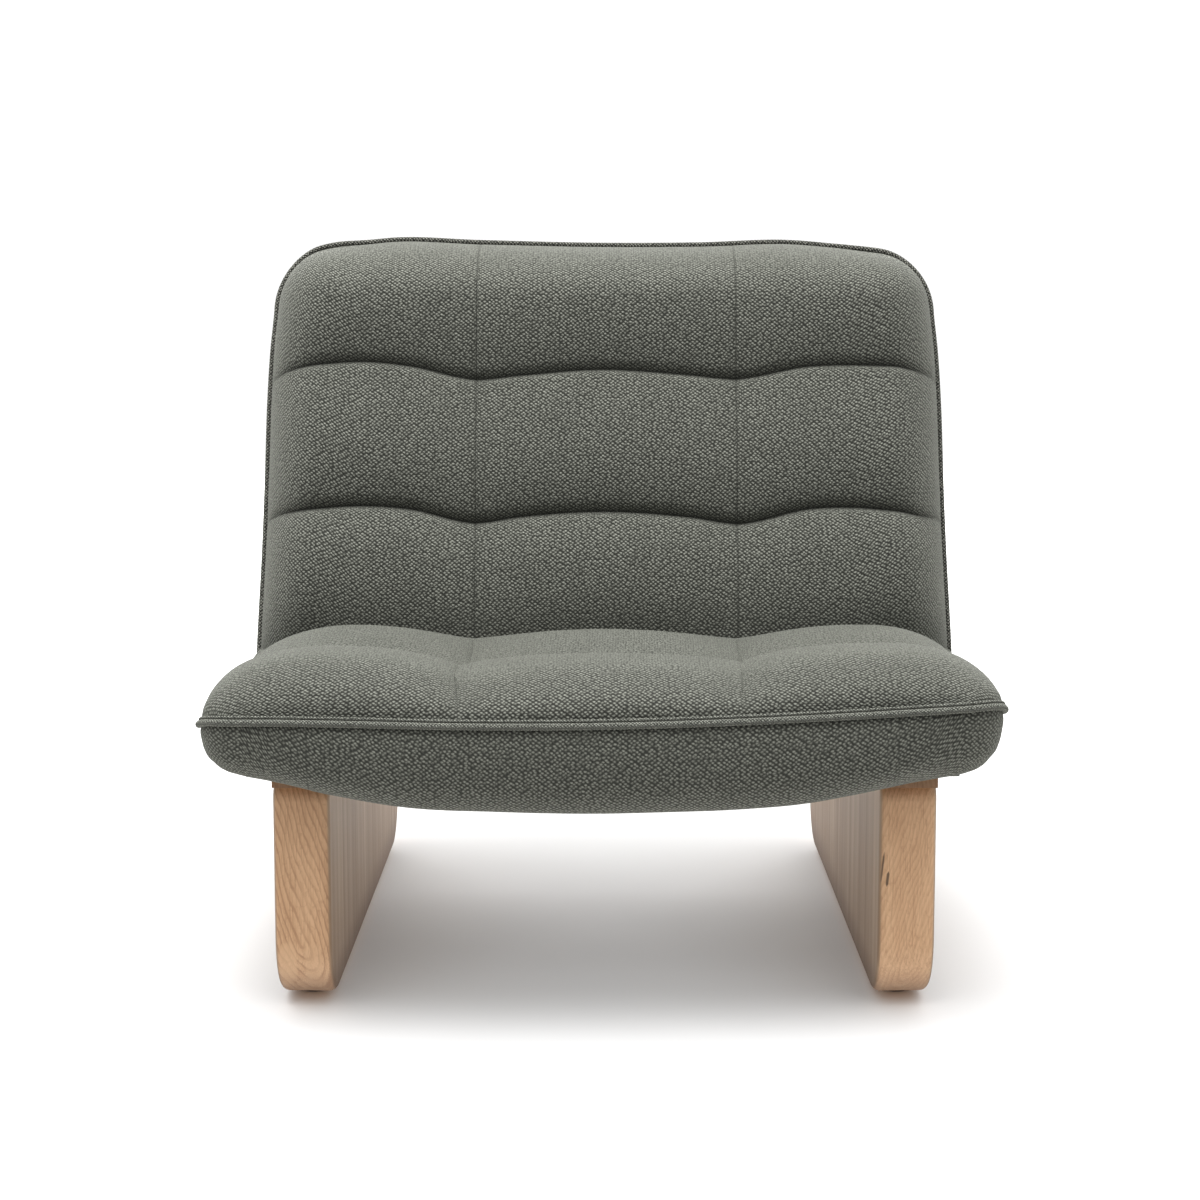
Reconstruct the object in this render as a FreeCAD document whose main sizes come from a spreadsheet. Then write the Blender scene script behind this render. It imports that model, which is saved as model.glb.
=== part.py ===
"""Accent chair: an upholstered seat and back on two solid timber side panels.

Frame: +X to the chair's left hand side as seen from the front (right in the view), -Y to the front, +Z up,
origin on the floor under the middle of the whole chair. Millimetres and degrees.
The back's pieces are drawn upright, then leaned back together about the line where the back meets the seat.
"""
import FreeCAD, Part

import math
import os

import Sketcher

Vector = FreeCAD.Vector

DRIVING_SIZES = {
    # timber side panels
    "slab_overhang": 183,
    "slab_height": 247,
    "slab_thick": 60,
    "slab_corner": 75,
    "slab_top_corner": 22,
    "slab_edge_round": 9,
    "slab_lead": 30,
    "slab_inset": 27,
    "slab_toe_angle": 2.2,
    # floor glides and their screws
    "glide_radius": 16,
    "glide_height": 5,
    "glide_chamfer": 1.2,
    "glide_recess_radius": 5,
    "glide_recess_depth": 2.8,
    "glide_screw_radius": 2,
    "glide_screw_length": 28,
    "glide_head_radius": 4.2,
    "glide_head_height": 2.2,
    # seat frame
    "quarter_turn": 90,
    "rail_height": 60,
    "rail_thick": 28,
    "frame_half_width": 346,
    "frame_setback": 50,
    "frame_length": 560,
    "bearer_width": 60,
    "bearer_height": 30,
    "corner_block_leg": 48,
    # leg bolts, their washers and the threaded inserts in the panels
    "bolt_radius": 4,
    "bolt_grip_below": 34,
    "bolt_head_radius": 7.5,
    "bolt_head_height": 5,
    "bolt_edge": 15,
    "bolt_end_distance": 95,
    "washer_radius": 10,
    "washer_thick": 1.6,
    "insert_radius": 6.5,
    "insert_length": 26,
    # screws that hold the rails and the posts together
    "frame_screw_radius": 2.5,
    "frame_screw_head_radius": 5,
    "frame_screw_head_height": 3,
    "frame_screw_grip": 38,
    "frame_screw_low": 15,
    "frame_screw_pitch": 28,
    "post_screw_seat": 26,
    # leaning back: frame
    "back_lean": 22,
    "back_overlap": 74.4,
    "back_foot_height": 334,
    "post_width": 45,
    "post_depth": 38,
    "post_knee_height": 48,
    "post_top_gap": 37,
    "back_rail_height": 40,
    "back_rail_thick": 28,
    "back_low_rail_height": 46,
    "back_mid_rail_height": 236,
    # webbing
    "strap_width": 50,
    "strap_thick": 2.5,
    "seat_strap_pitch": 96,
    "seat_cross_pitch": 98,
    "back_strap_pitch": 87,
    "back_strap_first": 63,
    # seat cushioning
    "band_depth": 60,
    "seat_plan_corner": 36,
    "pad_base_lift": 18,
    "seam_offset": 152,
    "seat_slope": 4.6,
    "seat_crest_setback": 130,
    "seat_mid_crown": 51,
    "seat_seam_rise": 34,
    "seat_outer_crown": 61,
    "seat_row_front": 262,
    "seat_front_row_rise": 68,
    "seat_valley_rise": 22,
    "seat_rear_row_rise": 40,
    "seat_rear_rise": 3,
    "seat_shoulder_inset": 55,
    "seat_shoulder_rise": 53,
    "seat_foam_front_rise": 16,
    "seat_foam_rear_drop": 6,
    "seat_foam_inset": 14,
    "pad_clearance": 0.3,
    # back cushioning, measured square to its face
    "back_pad_thick": 100,
    "back_height": 489,
    "back_taper": 16,
    "back_corner": 81,
    "back_crown": 24,
    "back_row_crown": 28,
    "back_seam_depth": 2,
    "back_low_seam": 132,
    "back_high_seam": 306,
    "back_side_round": 56,
    "back_top_round": 75,
    "back_foam_thick": 66,
    "back_foam_inset": 42,
    # padded band under the seat's welt
    "belly_drop": 103,
    "belly_shoulder_drop": 95,
    "belly_shoulder_inset": 194,
    "belly_side_drop": 65,
    "belly_side_inset": 31,
    "belly_corner_drop": 26,
    "band_swell": 6,
    "belly_depth": 48,
    "band_seam_inset": 105,
    # cover behind the back
    "rear_cover_thick": 52,
    "rear_cover_round": 30,
    # welts, underside sheet and the ties of the tufts
    "welt_radius": 5.5,
    "dust_cover_thick": 1,
    "dust_cover_margin": 6,
    "tie_radius": 1.5,
    "tie_hole_radius": 2.5,
    "tie_disc_radius": 13,
    "tie_disc_thick": 2,
    "overrun": 60,
}

# Shares of a row's or column's run and rise where a crowned arc passes
ROW_FRONT_SHARES = (0.28, 0.72)
CROWN_MIDDLE_SHARE = 0.5
SLOPE_ARC_SHARES = (0.55, 0.72)
SIDE_ARC_SHARES = (0.55, 0.64)
BAND_SWELL_SHARE = 0.38
BAND_TURN_SHARE = 0.72
BAND_TURN_SHARES = (0.35, 0.74)
BAND_TUCK_SHARES = (0.6, 0.36)
BELLY_SIDE_SHARES = (0.53, 0.42)
BAND_CORNER_SHARES = (0.75, 0.44)
BACK_SIDE_SHARES = (0.8, 0.36)
BACK_TOP_CREST_SHARE = 0.5
BACK_TOP_SHARES = (0.34, 0.68)
BACK_TOP_LEAD_SHARE = 0.25

# Places of repeated pieces, in steps of their pitch or as shares of their run
SEAT_STRAP_SHARES = (-2, -1, 0, 1, 2)
BACK_STRAP_SHARES = (0, 1, 2, 3)
BOLT_SHARES = (0, 0.5, 1)
SCREW_ROW_SHARES = (0, 1)
SIDES = (("left", -1), ("right", 1))

document = FreeCAD.newDocument("AccentChair")
sheet = document.addObject("Spreadsheet::Sheet", "Sizes")
for row, (size_name, size_value) in enumerate(DRIVING_SIZES.items(), start=1):
    sheet.set(f"A{row}", size_name)
    sheet.set(f"B{row}", str(size_value))
    sheet.setAlias(f"B{row}", size_name)
document.recompute()


class Dim:
    """A size that carries its number and the sheet expression it comes from."""

    def __init__(self, value, text):
        self.value = float(value)
        self.text = text

    def _join(self, other, sign, value):
        return Dim(value, f"({self.text} {sign} {text_of(other)})")

    def __add__(self, other):
        return self._join(other, "+", self.value + number(other))

    def __sub__(self, other):
        return self._join(other, "-", self.value - number(other))

    def __mul__(self, other):
        return self._join(other, "*", self.value * number(other))

    def __truediv__(self, other):
        return self._join(other, "/", self.value / number(other))

    def __neg__(self):
        return Dim(-self.value, f"(0 - {self.text})")

    __rmul__ = __mul__
    __radd__ = __add__

    def sin(self):
        return Dim(math.sin(math.radians(self.value)), f"sin({self.text})")

    def cos(self):
        return Dim(math.cos(math.radians(self.value)), f"cos({self.text})")


def number(item):
    return item.value if isinstance(item, Dim) else float(item)


def text_of(item):
    return item.text if isinstance(item, Dim) else repr(item)


def size(name):
    return Dim(getattr(sheet, name), f"Sizes.{name}")


def bind(item, prop, dim):
    """Tie one property of an object to the sheet."""
    item.setExpression(prop, text_of(dim))


def place(item, x=0, y=0, z=0, axis=None, angle=None):
    """Tie an object's placement to the sheet, with one optional turn about a named axis."""
    if axis is not None:
        turn = FreeCAD.Rotation(axis, number(angle))
        item.Placement = FreeCAD.Placement(Vector(0, 0, 0), turn)
        item.setExpression("Placement.Rotation.Angle", f"({text_of(angle)}) * 1 deg")
    for key, dim in (("x", x), ("y", y), ("z", z)):
        item.setExpression(f"Placement.Base.{key}", text_of(dim))


# Sizes that follow from the driving ones
zero = Dim(0, "0")
seat_half_width = size("frame_half_width") + size("band_depth")
slab_length = size("frame_length") + size("slab_overhang")
slab_setback = size("frame_setback") + size("slab_lead")
back_setback = size("frame_setback") + size("frame_length") - size("back_overlap")
post_length = size("back_height") - size("post_top_gap")
lean = size("back_lean")
back_depth = size("back_pad_thick") + size("rear_cover_thick")
cover_round = size("rear_cover_round")
rear_reach = (
    back_setback
    + (size("back_height") - cover_round) * lean.sin()
    + (back_depth - cover_round) * lean.cos()
    + cover_round
)
front_y = -rear_reach / 2
slab_top = size("glide_height") + size("slab_height")
frame_top = slab_top + size("rail_height")
pad_base = frame_top + size("pad_base_lift")
frame_front = front_y + size("frame_setback")
frame_rear = frame_front + size("frame_length")
inner_front = frame_front + size("rail_thick")
inner_rear = frame_rear - size("rail_thick")
side_inner = size("frame_half_width") - size("rail_thick")
bearer_inner = side_inner - size("bearer_width")
pivot_y = front_y + back_setback
pivot_z = size("back_foot_height")
edge_setback = 2 * size("welt_radius")
NODES = []


def node(item, label):
    """Register a finished sub-part under its own name."""
    item.Label = label
    NODES.append(item)
    return item


def add(kind, name):
    return document.addObject(kind, name)


def box(name, length, width, height, x, y, z):
    """A straight bar or block from three sizes and the corner of lowest X, Y and Z."""
    item = add("Part::Box", name)
    bind(item, "Length", length)
    bind(item, "Width", width)
    bind(item, "Height", height)
    place(item, x, y, z)
    return item


def cylinder(name, radius, height, x=0, y=0, z=0, axis=None, angle=None):
    item = add("Part::Cylinder", name)
    bind(item, "Radius", radius)
    bind(item, "Height", height)
    place(item, x, y, z, axis, angle)
    return item


def compound(name, items):
    item = add("Part::Compound", name)
    item.Links = items
    return item


def cut(name, base, tool):
    item = add("Part::Cut", name)
    item.Base = base
    item.Tool = tool
    return item


def fuse(name, base, tool):
    item = add("Part::Fuse", name)
    item.Base = base
    item.Tool = tool
    return item


def origin_plane(body, role):
    return next(plane for plane in body.Origin.OriginFeatures if plane.Role == role)


def sketch_on(body, role, name):
    sketch = body.newObject("Sketcher::SketchObject", name)
    sketch.AttachmentSupport = [(origin_plane(body, role), "")]
    sketch.MapMode = "FlatFace"
    return sketch


def pin_point(sketch, index, position, place_x, place_y, label):
    """Fix one end of a sketch line at a point whose two coordinates come from the sheet."""
    for kind, dim, letter in (("DistanceX", place_x, "x"), ("DistanceY", place_y, "y")):
        key = f"{label}_{letter}"
        made = sketch.addConstraint(
            Sketcher.Constraint(kind, -1, 1, index, position, number(dim))
        )
        sketch.renameConstraint(made, key)
        sketch.setExpression(f"Constraints.{key}", text_of(dim))


def polygon_sketch(body, role, name, points):
    """A closed straight-sided sketch through points given as pairs of sizes."""
    sketch = sketch_on(body, role, name)
    spots = [Vector(number(px), number(py), 0) for px, py in points]
    for index, spot in enumerate(spots):
        following = spots[(index + 1) % len(spots)]
        sketch.addGeometry(Part.LineSegment(spot, following), False)
    for index in range(len(spots)):
        following = (index + 1) % len(spots)
        sketch.addConstraint(Sketcher.Constraint("Coincident", index, 2, following, 1))
    for index, (px, py) in enumerate(points):
        pin_point(sketch, index, 1, px, py, f"point{index}")
    return sketch


def rounded_rectangle_sketch(body, role, name, length, height, low_radius, top_radius):
    """A rectangle from the origin into +X +Y with two equal low corners and two equal top ones."""
    sketch = sketch_on(body, role, name)
    wide, tall = number(length), number(height)
    low, top = number(low_radius), number(top_radius)
    corners = (
        (low, low, low, math.pi),
        (wide - low, low, low, 1.5 * math.pi),
        (wide - top, tall - top, top, 0.0),
        (top, tall - top, top, 0.5 * math.pi),
    )
    for cx, cy, turn, start in corners:
        circle = Part.Circle(Vector(cx, cy, 0), Vector(0, 0, 1), turn)
        sketch.addGeometry(Part.ArcOfCircle(circle, start, start + 0.5 * math.pi), False)
    for index in range(len(corners)):
        start = sketch.getPoint(index, 2)
        end = sketch.getPoint((index + 1) % len(corners), 1)
        sketch.addGeometry(Part.LineSegment(start, end), False)
    for index in range(len(corners)):
        line = len(corners) + index
        following = (index + 1) % len(corners)
        sketch.addConstraint(Sketcher.Constraint("Tangent", index, 2, line, 1))
        sketch.addConstraint(Sketcher.Constraint("Tangent", line, 2, following, 1))
    sketch.addConstraint(Sketcher.Constraint("Equal", 0, 1))
    sketch.addConstraint(Sketcher.Constraint("Equal", 2, 3))
    sketch.addConstraint(Sketcher.Constraint("Horizontal", len(corners)))
    sketch.addConstraint(Sketcher.Constraint("Vertical", len(corners) + 1))
    for kind, first, spot, dim, key in (
        ("DistanceY", 4, 1, 0, "bottom"),
        ("DistanceX", 7, 1, 0, "front"),
        ("DistanceX", 5, 1, length, "rear"),
        ("DistanceY", 6, 1, height, "top"),
    ):
        made = sketch.addConstraint(Sketcher.Constraint(kind, -1, 1, first, spot, number(dim)))
        if isinstance(dim, Dim):
            sketch.renameConstraint(made, key)
            sketch.setExpression(f"Constraints.{key}", dim.text)
    for corner, radius, key in ((0, low_radius, "low_corner"), (2, top_radius, "top_corner")):
        made = sketch.addConstraint(Sketcher.Constraint("Radius", corner, number(radius)))
        sketch.renameConstraint(made, key)
        sketch.setExpression(f"Constraints.{key}", radius.text)
    return sketch


def pad(body, sketch, length, symmetric=False):
    feature = body.newObject("PartDesign::Pad", f"{body.Name}Pad")
    feature.Profile = sketch
    if symmetric:
        feature.SideType = "Symmetric"
    bind(feature, "Length", length)
    body.Tip = feature
    return feature


def revolved(name, points):
    """A turned piece about its own Z axis from a half profile of (radius, height) pairs."""
    body = add("PartDesign::Body", name)
    sketch = polygon_sketch(body, "XZ_Plane", f"{name}Profile", points)
    feature = body.newObject("PartDesign::Revolution", f"{name}Turned")
    feature.Profile = sketch
    feature.ReferenceAxis = (sketch, ["V_Axis"])
    feature.Angle = 360
    body.Tip = feature
    return body


def flat_rod(name, head_radius, head_height, shank_radius, shank_length):
    """A headed rod, shank down from Z 0 and head above it."""
    return revolved(
        name,
        (
            (zero, -shank_length),
            (shank_radius, -shank_length),
            (shank_radius, zero),
            (head_radius, zero),
            (head_radius, head_height),
            (zero, head_height),
        ),
    )


# Timber side panels, each with four blind bores for its threaded inserts and two for its glide screws
toe = size("slab_toe_angle")
glide_inset = size("slab_corner") + size("glide_radius")
bolt_run = size("frame_length") - 2 * size("bolt_end_distance")


def panel_point(side, along):
    """World place of a point on a panel's centre line, a given run behind its front face."""
    x = side * ((size("frame_half_width") - size("slab_inset")) - along * toe.sin())
    y = front_y + slab_setback + along * toe.cos()
    return x, y


def bolt_places(side):
    """World places of one side's leg bolts, straight from front to rear."""
    for share in BOLT_SHARES:
        yield side * (side_inner - size("bolt_edge")), (
            frame_front + size("bolt_end_distance") + share * bolt_run
        )


for word, side in SIDES:
    body = add("PartDesign::Body", f"Panel_{word}")
    outline = rounded_rectangle_sketch(
        body, "YZ_Plane", f"PanelOutline_{word}",
        slab_length, size("slab_height"), size("slab_corner"), size("slab_top_corner"),
    )
    timber = pad(body, outline, size("slab_thick"), symmetric=True)
    document.recompute()
    half = number(size("slab_thick")) / 2
    rims = [
        f"Edge{index}"
        for index, edge in enumerate(timber.Shape.Edges, start=1)
        if abs(abs(edge.CenterOfMass.x) - half) < number(size("pad_clearance"))
    ]
    rounding = body.newObject("PartDesign::Fillet", f"PanelRound_{word}")
    rounding.Base = (timber, rims)
    bind(rounding, "Radius", size("slab_edge_round"))
    body.Tip = rounding
    front_x, front_place = panel_point(side, zero)
    place(body, front_x, front_place, size("glide_height"), Vector(0, 0, 1), side * toe)
    bores = []
    for index, (bx, by) in enumerate(bolt_places(side)):
        bores.append(
            cylinder(
                f"InsertBore_{word}{index}", size("insert_radius"),
                size("insert_length") + size("bolt_grip_below"),
                bx, by, slab_top - size("bolt_grip_below"),
            )
        )
    for index, along in enumerate((glide_inset, slab_length - glide_inset)):
        gx, gy = panel_point(side, along)
        bores.append(
            cylinder(
                f"GlideBore_{word}{index}", size("glide_screw_radius"),
                size("glide_screw_length"), gx, gy, size("glide_recess_depth"),
            )
        )
    node(cut(f"PanelBored_{word}", body, compound(f"PanelBores_{word}", bores)), f"leg_slab_{word}")

# Floor glides with a recessed screw
glide_screws = []
glide_hole = size("glide_screw_radius") + size("pad_clearance")
for word, side in SIDES:
    for end, along in (("front", glide_inset), ("rear", slab_length - glide_inset)):
        gx, gy = panel_point(side, along)
        glide = revolved(
            f"Glide_{end}_{word}",
            (
                (glide_hole, size("glide_height")),
                (glide_hole, size("glide_recess_depth")),
                (size("glide_recess_radius"), size("glide_recess_depth")),
                (size("glide_recess_radius"), zero),
                (size("glide_radius") - size("glide_chamfer"), zero),
                (size("glide_radius"), size("glide_chamfer")),
                (size("glide_radius"), size("glide_height")),
            ),
        )
        place(glide, gx, gy, zero)
        node(glide, f"glide_{end}_{word}")
        head = cylinder(
            f"GlideScrewHead_{end}_{word}", size("glide_head_radius"), size("glide_head_height"),
            gx, gy, size("glide_recess_depth") - size("glide_head_height"),
        )
        shank = cylinder(
            f"GlideScrewShank_{end}_{word}", size("glide_screw_radius"),
            size("glide_screw_length"), gx, gy, size("glide_recess_depth"),
        )
        glide_screws.append(fuse(f"GlideScrew_{end}_{word}", head, shank))
node(compound("GlideScrews", glide_screws), "glide_screws")

# Seat frame: four rails and two bearers that lie on the panels
frame_wide = 2 * size("frame_half_width")
rail_gap = size("frame_length") - 2 * size("rail_thick")
screw_x = size("frame_half_width") - size("rail_thick") / 2
screw_hole = size("frame_screw_radius") + size("pad_clearance")


def rod_along_y(name, radius, x, start_y, length, z):
    """A round bar or bore that runs to the rear from its start."""
    return cylinder(name, radius, length, x, start_y + length, z, Vector(1, 0, 0), size("quarter_turn"))


def screw_spots():
    """Label, X and Z of the frame screws, the same at the front and at the rear."""
    for word, side in SIDES:
        for line in SCREW_ROW_SHARES:
            height = slab_top + size("frame_screw_low") + line * size("frame_screw_pitch")
            yield f"{word}{line}", side * screw_x, height


def screw_bores(owner, start_y, length):
    """One compound of bores for a piece that all the frame screws at one end pass through."""
    bores = [
        rod_along_y(f"{owner}Bore{label}", screw_hole, x, start_y, length, z)
        for label, x, z in screw_spots()
    ]
    return compound(f"{owner}Bores", bores)


front_blank = box(
    "FrontRailBlank", frame_wide, size("rail_thick"), size("rail_height"),
    -size("frame_half_width"), frame_front, slab_top,
)
front_sinks = [
    rod_along_y(
        f"FrontSink{label}", size("frame_screw_head_radius") + size("pad_clearance"),
        x, frame_front, size("frame_screw_head_height"), z,
    )
    for label, x, z in screw_spots()
]
front_bores = compound(
    "FrontRailHoles",
    [screw_bores("FrontRail", frame_front, size("rail_thick")), compound("FrontSinks", front_sinks)],
)
node(cut("FrontRail", front_blank, front_bores), "seat_front_rail")
rear_blank = box(
    "RearRailBlank", frame_wide, size("rail_thick"), size("rail_height"),
    -size("frame_half_width"), inner_rear, slab_top,
)
rear_bores = screw_bores("RearRail", inner_rear, size("rail_thick"))
node(cut("RearRail", rear_blank, rear_bores), "seat_rear_rail")
for word, side in SIDES:
    rail_x = side_inner if side > 0 else -size("frame_half_width")
    side_blank = box(
        f"SideRailBlank_{word}", size("rail_thick"), rail_gap, size("rail_height"),
        rail_x, inner_front, slab_top,
    )
    side_bores = compound(
        f"SideRailBores_{word}",
        [
            screw_bores(f"SideFront_{word}", inner_front, size("frame_screw_grip")),
            screw_bores(f"SideRear_{word}", inner_rear - size("frame_screw_grip"), size("frame_screw_grip")),
        ],
    )
    node(cut(f"SideRail_{word}", side_blank, side_bores), f"seat_side_rail_{word}")
    bearer_x = bearer_inner if side > 0 else -side_inner
    bearer = box(
        f"BearerBlank_{word}", size("bearer_width"), rail_gap, size("bearer_height"),
        bearer_x, inner_front, slab_top,
    )
    holes = [
        cylinder(
            f"BearerHole_{word}{index}", size("bolt_radius") + size("pad_clearance"),
            size("bearer_height"), bx, by, slab_top,
        )
        for index, (bx, by) in enumerate(bolt_places(side))
    ]
    node(
        cut(f"Bearer_{word}", bearer, compound(f"BearerHoles_{word}", holes)),
        f"seat_bearer_{word}",
    )

# Leg bolts down through the bearers, with washers, into threaded inserts in the panels
bolts, washers, inserts = [], [], []
bolt_length = size("bearer_height") + size("washer_thick") + size("bolt_grip_below")
for word, side in SIDES:
    for index, (bx, by) in enumerate(bolt_places(side)):
        bolt = flat_rod(
            f"LegBolt_{word}{index}", size("bolt_head_radius"), size("bolt_head_height"),
            size("bolt_radius"), bolt_length,
        )
        place(bolt, bx, by, slab_top + size("bearer_height") + size("washer_thick"))
        bolts.append(bolt)
        ring_hole = cylinder(
            f"WasherHole_{word}{index}", size("bolt_radius") + size("pad_clearance"),
            size("washer_thick"), bx, by, slab_top + size("bearer_height"),
        )
        ring = cylinder(
            f"WasherDisc_{word}{index}", size("washer_radius"), size("washer_thick"),
            bx, by, slab_top + size("bearer_height"),
        )
        washers.append(cut(f"Washer_{word}{index}", ring, ring_hole))
        sleeve_top = slab_top - size("insert_length")
        bore = cylinder(
            f"InsertHole_{word}{index}", size("bolt_radius"), size("insert_length"),
            bx, by, sleeve_top,
        )
        sleeve = cylinder(
            f"InsertSleeve_{word}{index}", size("insert_radius"), size("insert_length"),
            bx, by, sleeve_top,
        )
        inserts.append(cut(f"Insert_{word}{index}", sleeve, bore))
node(compound("LegBolts", bolts), "leg_bolts")
node(compound("LegWashers", washers), "leg_washers")
node(compound("LegInserts", inserts), "leg_inserts")

# Triangular glue blocks in the four inside corners, above the bearers
blocks = []
block_base = slab_top + size("bearer_height")
block_height = size("rail_height") - size("bearer_height")
for word, side in SIDES:
    for end, corner_y, toward in (("front", inner_front, 1), ("rear", inner_rear, -1)):
        leg = size("corner_block_leg")
        block = add("PartDesign::Body", f"Block_{end}_{word}")
        points = (
            (side * side_inner, corner_y),
            (side * (side_inner - leg), corner_y),
            (side * side_inner, corner_y + toward * leg),
        )
        outline = polygon_sketch(block, "XY_Plane", f"BlockOutline_{end}_{word}", points)
        pad(block, outline, block_height)
        place(block, zero, zero, block_base)
        blocks.append(block)
node(compound("CornerBlocks", blocks), "corner_blocks")


# Back frame: two posts with a vertical foot, three rails between them
pad_thick = size("back_pad_thick")
sine, cosine = lean.sin(), lean.cos()


def world_of(across, along):
    """World Y and Z of a point of the leaning back, from its depth and its height."""
    return (
        pivot_y + along * sine + across * cosine,
        pivot_z + along * cosine - across * sine,
    )


def along_at(across, world_z):
    """Height along the back at which a depth reaches a world Z."""
    return (world_z - pivot_z + across * sine) / cosine


post_back = pad_thick + size("post_depth")
for word, side in SIDES:
    post = add("PartDesign::Body", f"Post_{word}")
    knee_z = slab_top + size("post_knee_height")
    knee_along = along_at(pad_thick, knee_z + size("pad_base_lift"))
    rear_foot = world_of(post_back, along_at(post_back, slab_top))
    points = (
        (frame_rear, slab_top),
        (rear_foot[0], slab_top),
        world_of(post_back, post_length),
        world_of(pad_thick, post_length),
        world_of(pad_thick, knee_along),
        (frame_rear, knee_z),
    )
    outline = polygon_sketch(post, "YZ_Plane", f"PostOutline_{word}", points)
    pad(post, outline, size("post_width"))
    post_x = size("frame_half_width") - size("post_width") if side > 0 else -size("frame_half_width")
    place(post, post_x, zero, zero)
    post_bores = compound(
        f"PostBores_{word}",
        [
            screw_bores(f"PostShank_{word}", frame_rear, size("post_screw_seat")),
            compound(
                f"PostSinks_{word}",
                [
                    rod_along_y(
                        f"PostSink_{word}{label}", size("frame_screw_head_radius") + size("pad_clearance"),
                        x, frame_rear + size("post_screw_seat"), size("overrun"), z,
                    )
                    for label, x, z in screw_spots()
                ],
            ),
        ],
    )
    node(cut(f"PostBored_{word}", post, post_bores), f"back_post_{word}")

# Screws of the frame, through the front rail and through the posts and the rear rail
front_screws, post_screws = [], []
post_shank = size("post_screw_seat") + size("rail_thick") + size("frame_screw_grip")
head_tall = size("frame_screw_head_height")
for label, x, z in screw_spots():
    head = rod_along_y(
        f"FrontHead{label}", size("frame_screw_head_radius"), x, frame_front, head_tall, z
    )
    shank = rod_along_y(
        f"FrontShank{label}", size("frame_screw_radius"), x, frame_front + head_tall,
        size("rail_thick") + size("frame_screw_grip") - head_tall, z,
    )
    front_screws.append(fuse(f"FrontScrew{label}", head, shank))
    seat_y = frame_rear + size("post_screw_seat")
    head = rod_along_y(f"PostHead{label}", size("frame_screw_head_radius"), x, seat_y, head_tall, z)
    shank = rod_along_y(
        f"PostShank{label}", size("frame_screw_radius"), x, seat_y - post_shank, post_shank, z
    )
    post_screws.append(fuse(f"PostScrew{label}", head, shank))
node(compound("FrontScrews", front_screws), "front_rail_screws")
node(compound("PostScrews", post_screws), "post_screws")

rail_half = size("frame_half_width") - size("post_width")
for label, height in (
    ("back_lower_rail", size("back_low_rail_height")),
    ("back_middle_rail", size("back_mid_rail_height")),
    ("back_top_rail", post_length - size("back_rail_height")),
):
    rail = box(
        f"Back_{label}", 2 * rail_half, size("back_rail_thick"), size("back_rail_height"),
        -rail_half, zero, zero,
    )
    rail_y, rail_z = world_of(pad_thick, height)
    place(rail, -rail_half, rail_y, rail_z, Vector(1, 0, 0), -lean)
    node(rail, label)

# Webbing of the seat, front to back and across, and of the back
straps = []
for index, step in enumerate(SEAT_STRAP_SHARES):
    straps.append(
        box(
            f"LongStrap{index}", size("strap_width"), size("frame_length"), size("strap_thick"),
            step * size("seat_strap_pitch") - size("strap_width") / 2, frame_front, frame_top,
        )
    )
node(compound("LongStraps", straps), "seat_webbing_long")
straps = []
middle_y = frame_front + size("frame_length") / 2
for index, step in enumerate(SEAT_STRAP_SHARES):
    straps.append(
        box(
            f"CrossStrap{index}", frame_wide, size("strap_width"), size("strap_thick"),
            -size("frame_half_width"),
            middle_y + step * size("seat_cross_pitch") - size("strap_width") / 2,
            frame_top + size("strap_thick"),
        )
    )
node(compound("CrossStraps", straps), "seat_webbing_cross")
straps = []
for step in BACK_STRAP_SHARES:
    strap = box(
        f"BackStrap{step}", frame_wide, size("strap_thick"), size("strap_width"), zero, zero, zero
    )
    height = size("back_strap_first") + step * size("back_strap_pitch")
    strap_y, strap_z = world_of(pad_thick - size("strap_thick"), height)
    place(strap, -size("frame_half_width"), strap_y, strap_z, Vector(1, 0, 0), -lean)
    straps.append(strap)
node(compound("BackStraps", straps), "back_webbing")

# Dust cover under the frame, between the two panels
dust_half = bearer_inner
node(
    box(
        "DustCover", 2 * dust_half, frame_rear - size("dust_cover_margin") - inner_front,
        size("dust_cover_thick"), -dust_half, inner_front,
        slab_top - size("dust_cover_thick"),
    ),
    "dust_cover",
)


# Soft forms: each is where several crowned outlines meet
def spot(plane, first, second):
    """A point from two coordinates in the named plane."""
    if plane == "yz":
        return Vector(0, first, second)
    if plane == "xz":
        return Vector(first, 0, second)
    return Vector(first, second, 0)


def outline_face(plane, pieces):
    """A flat face from line pieces (2 points) and arc pieces (3 points)."""
    edges = []
    for piece in pieces:
        points = [spot(plane, *pair) for pair in piece]
        if len(points) == 2:
            edges.append(Part.LineSegment(*points).toShape())
        else:
            edges.append(Part.Arc(*points).toShape())
    return Part.Face(Part.Wire(edges))


def prism(plane, pieces, start, run):
    """The outline's face pushed along the axis square to its plane, from a start."""
    direction = {"yz": Vector(1, 0, 0), "xz": Vector(0, 1, 0), "xy": Vector(0, 0, 1)}[plane]
    face = outline_face(plane, pieces)
    face.translate(direction * start)
    return face.extrude(direction * run)


def rounded_pieces(points, radii):
    """Line and arc pieces of a closed polygon whose corners are rounded by the given radii."""
    count = len(points)
    starts, ends, middles = [], [], []
    for index, (px, py) in enumerate(points):
        here = Vector(px, py, 0)
        before = (Vector(*points[index - 1], 0) - here).normalize()
        after = (Vector(*points[(index + 1) % count], 0) - here).normalize()
        half_angle = before.getAngle(after) / 2
        radius = radii[index]
        reach = radius / math.tan(half_angle)
        starts.append(here + before * reach)
        ends.append(here + after * reach)
        bisector = (before + after).normalize()
        middles.append(here + bisector * (radius / math.sin(half_angle) - radius))
    pieces = []
    for index in range(count):
        if radii[index] > 0:
            arc = (starts[index], middles[index], ends[index])
            pieces.append([(point.x, point.y) for point in arc])
        line = (ends[index], starts[(index + 1) % count])
        pieces.append([(point.x, point.y) for point in line])
    return pieces


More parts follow.
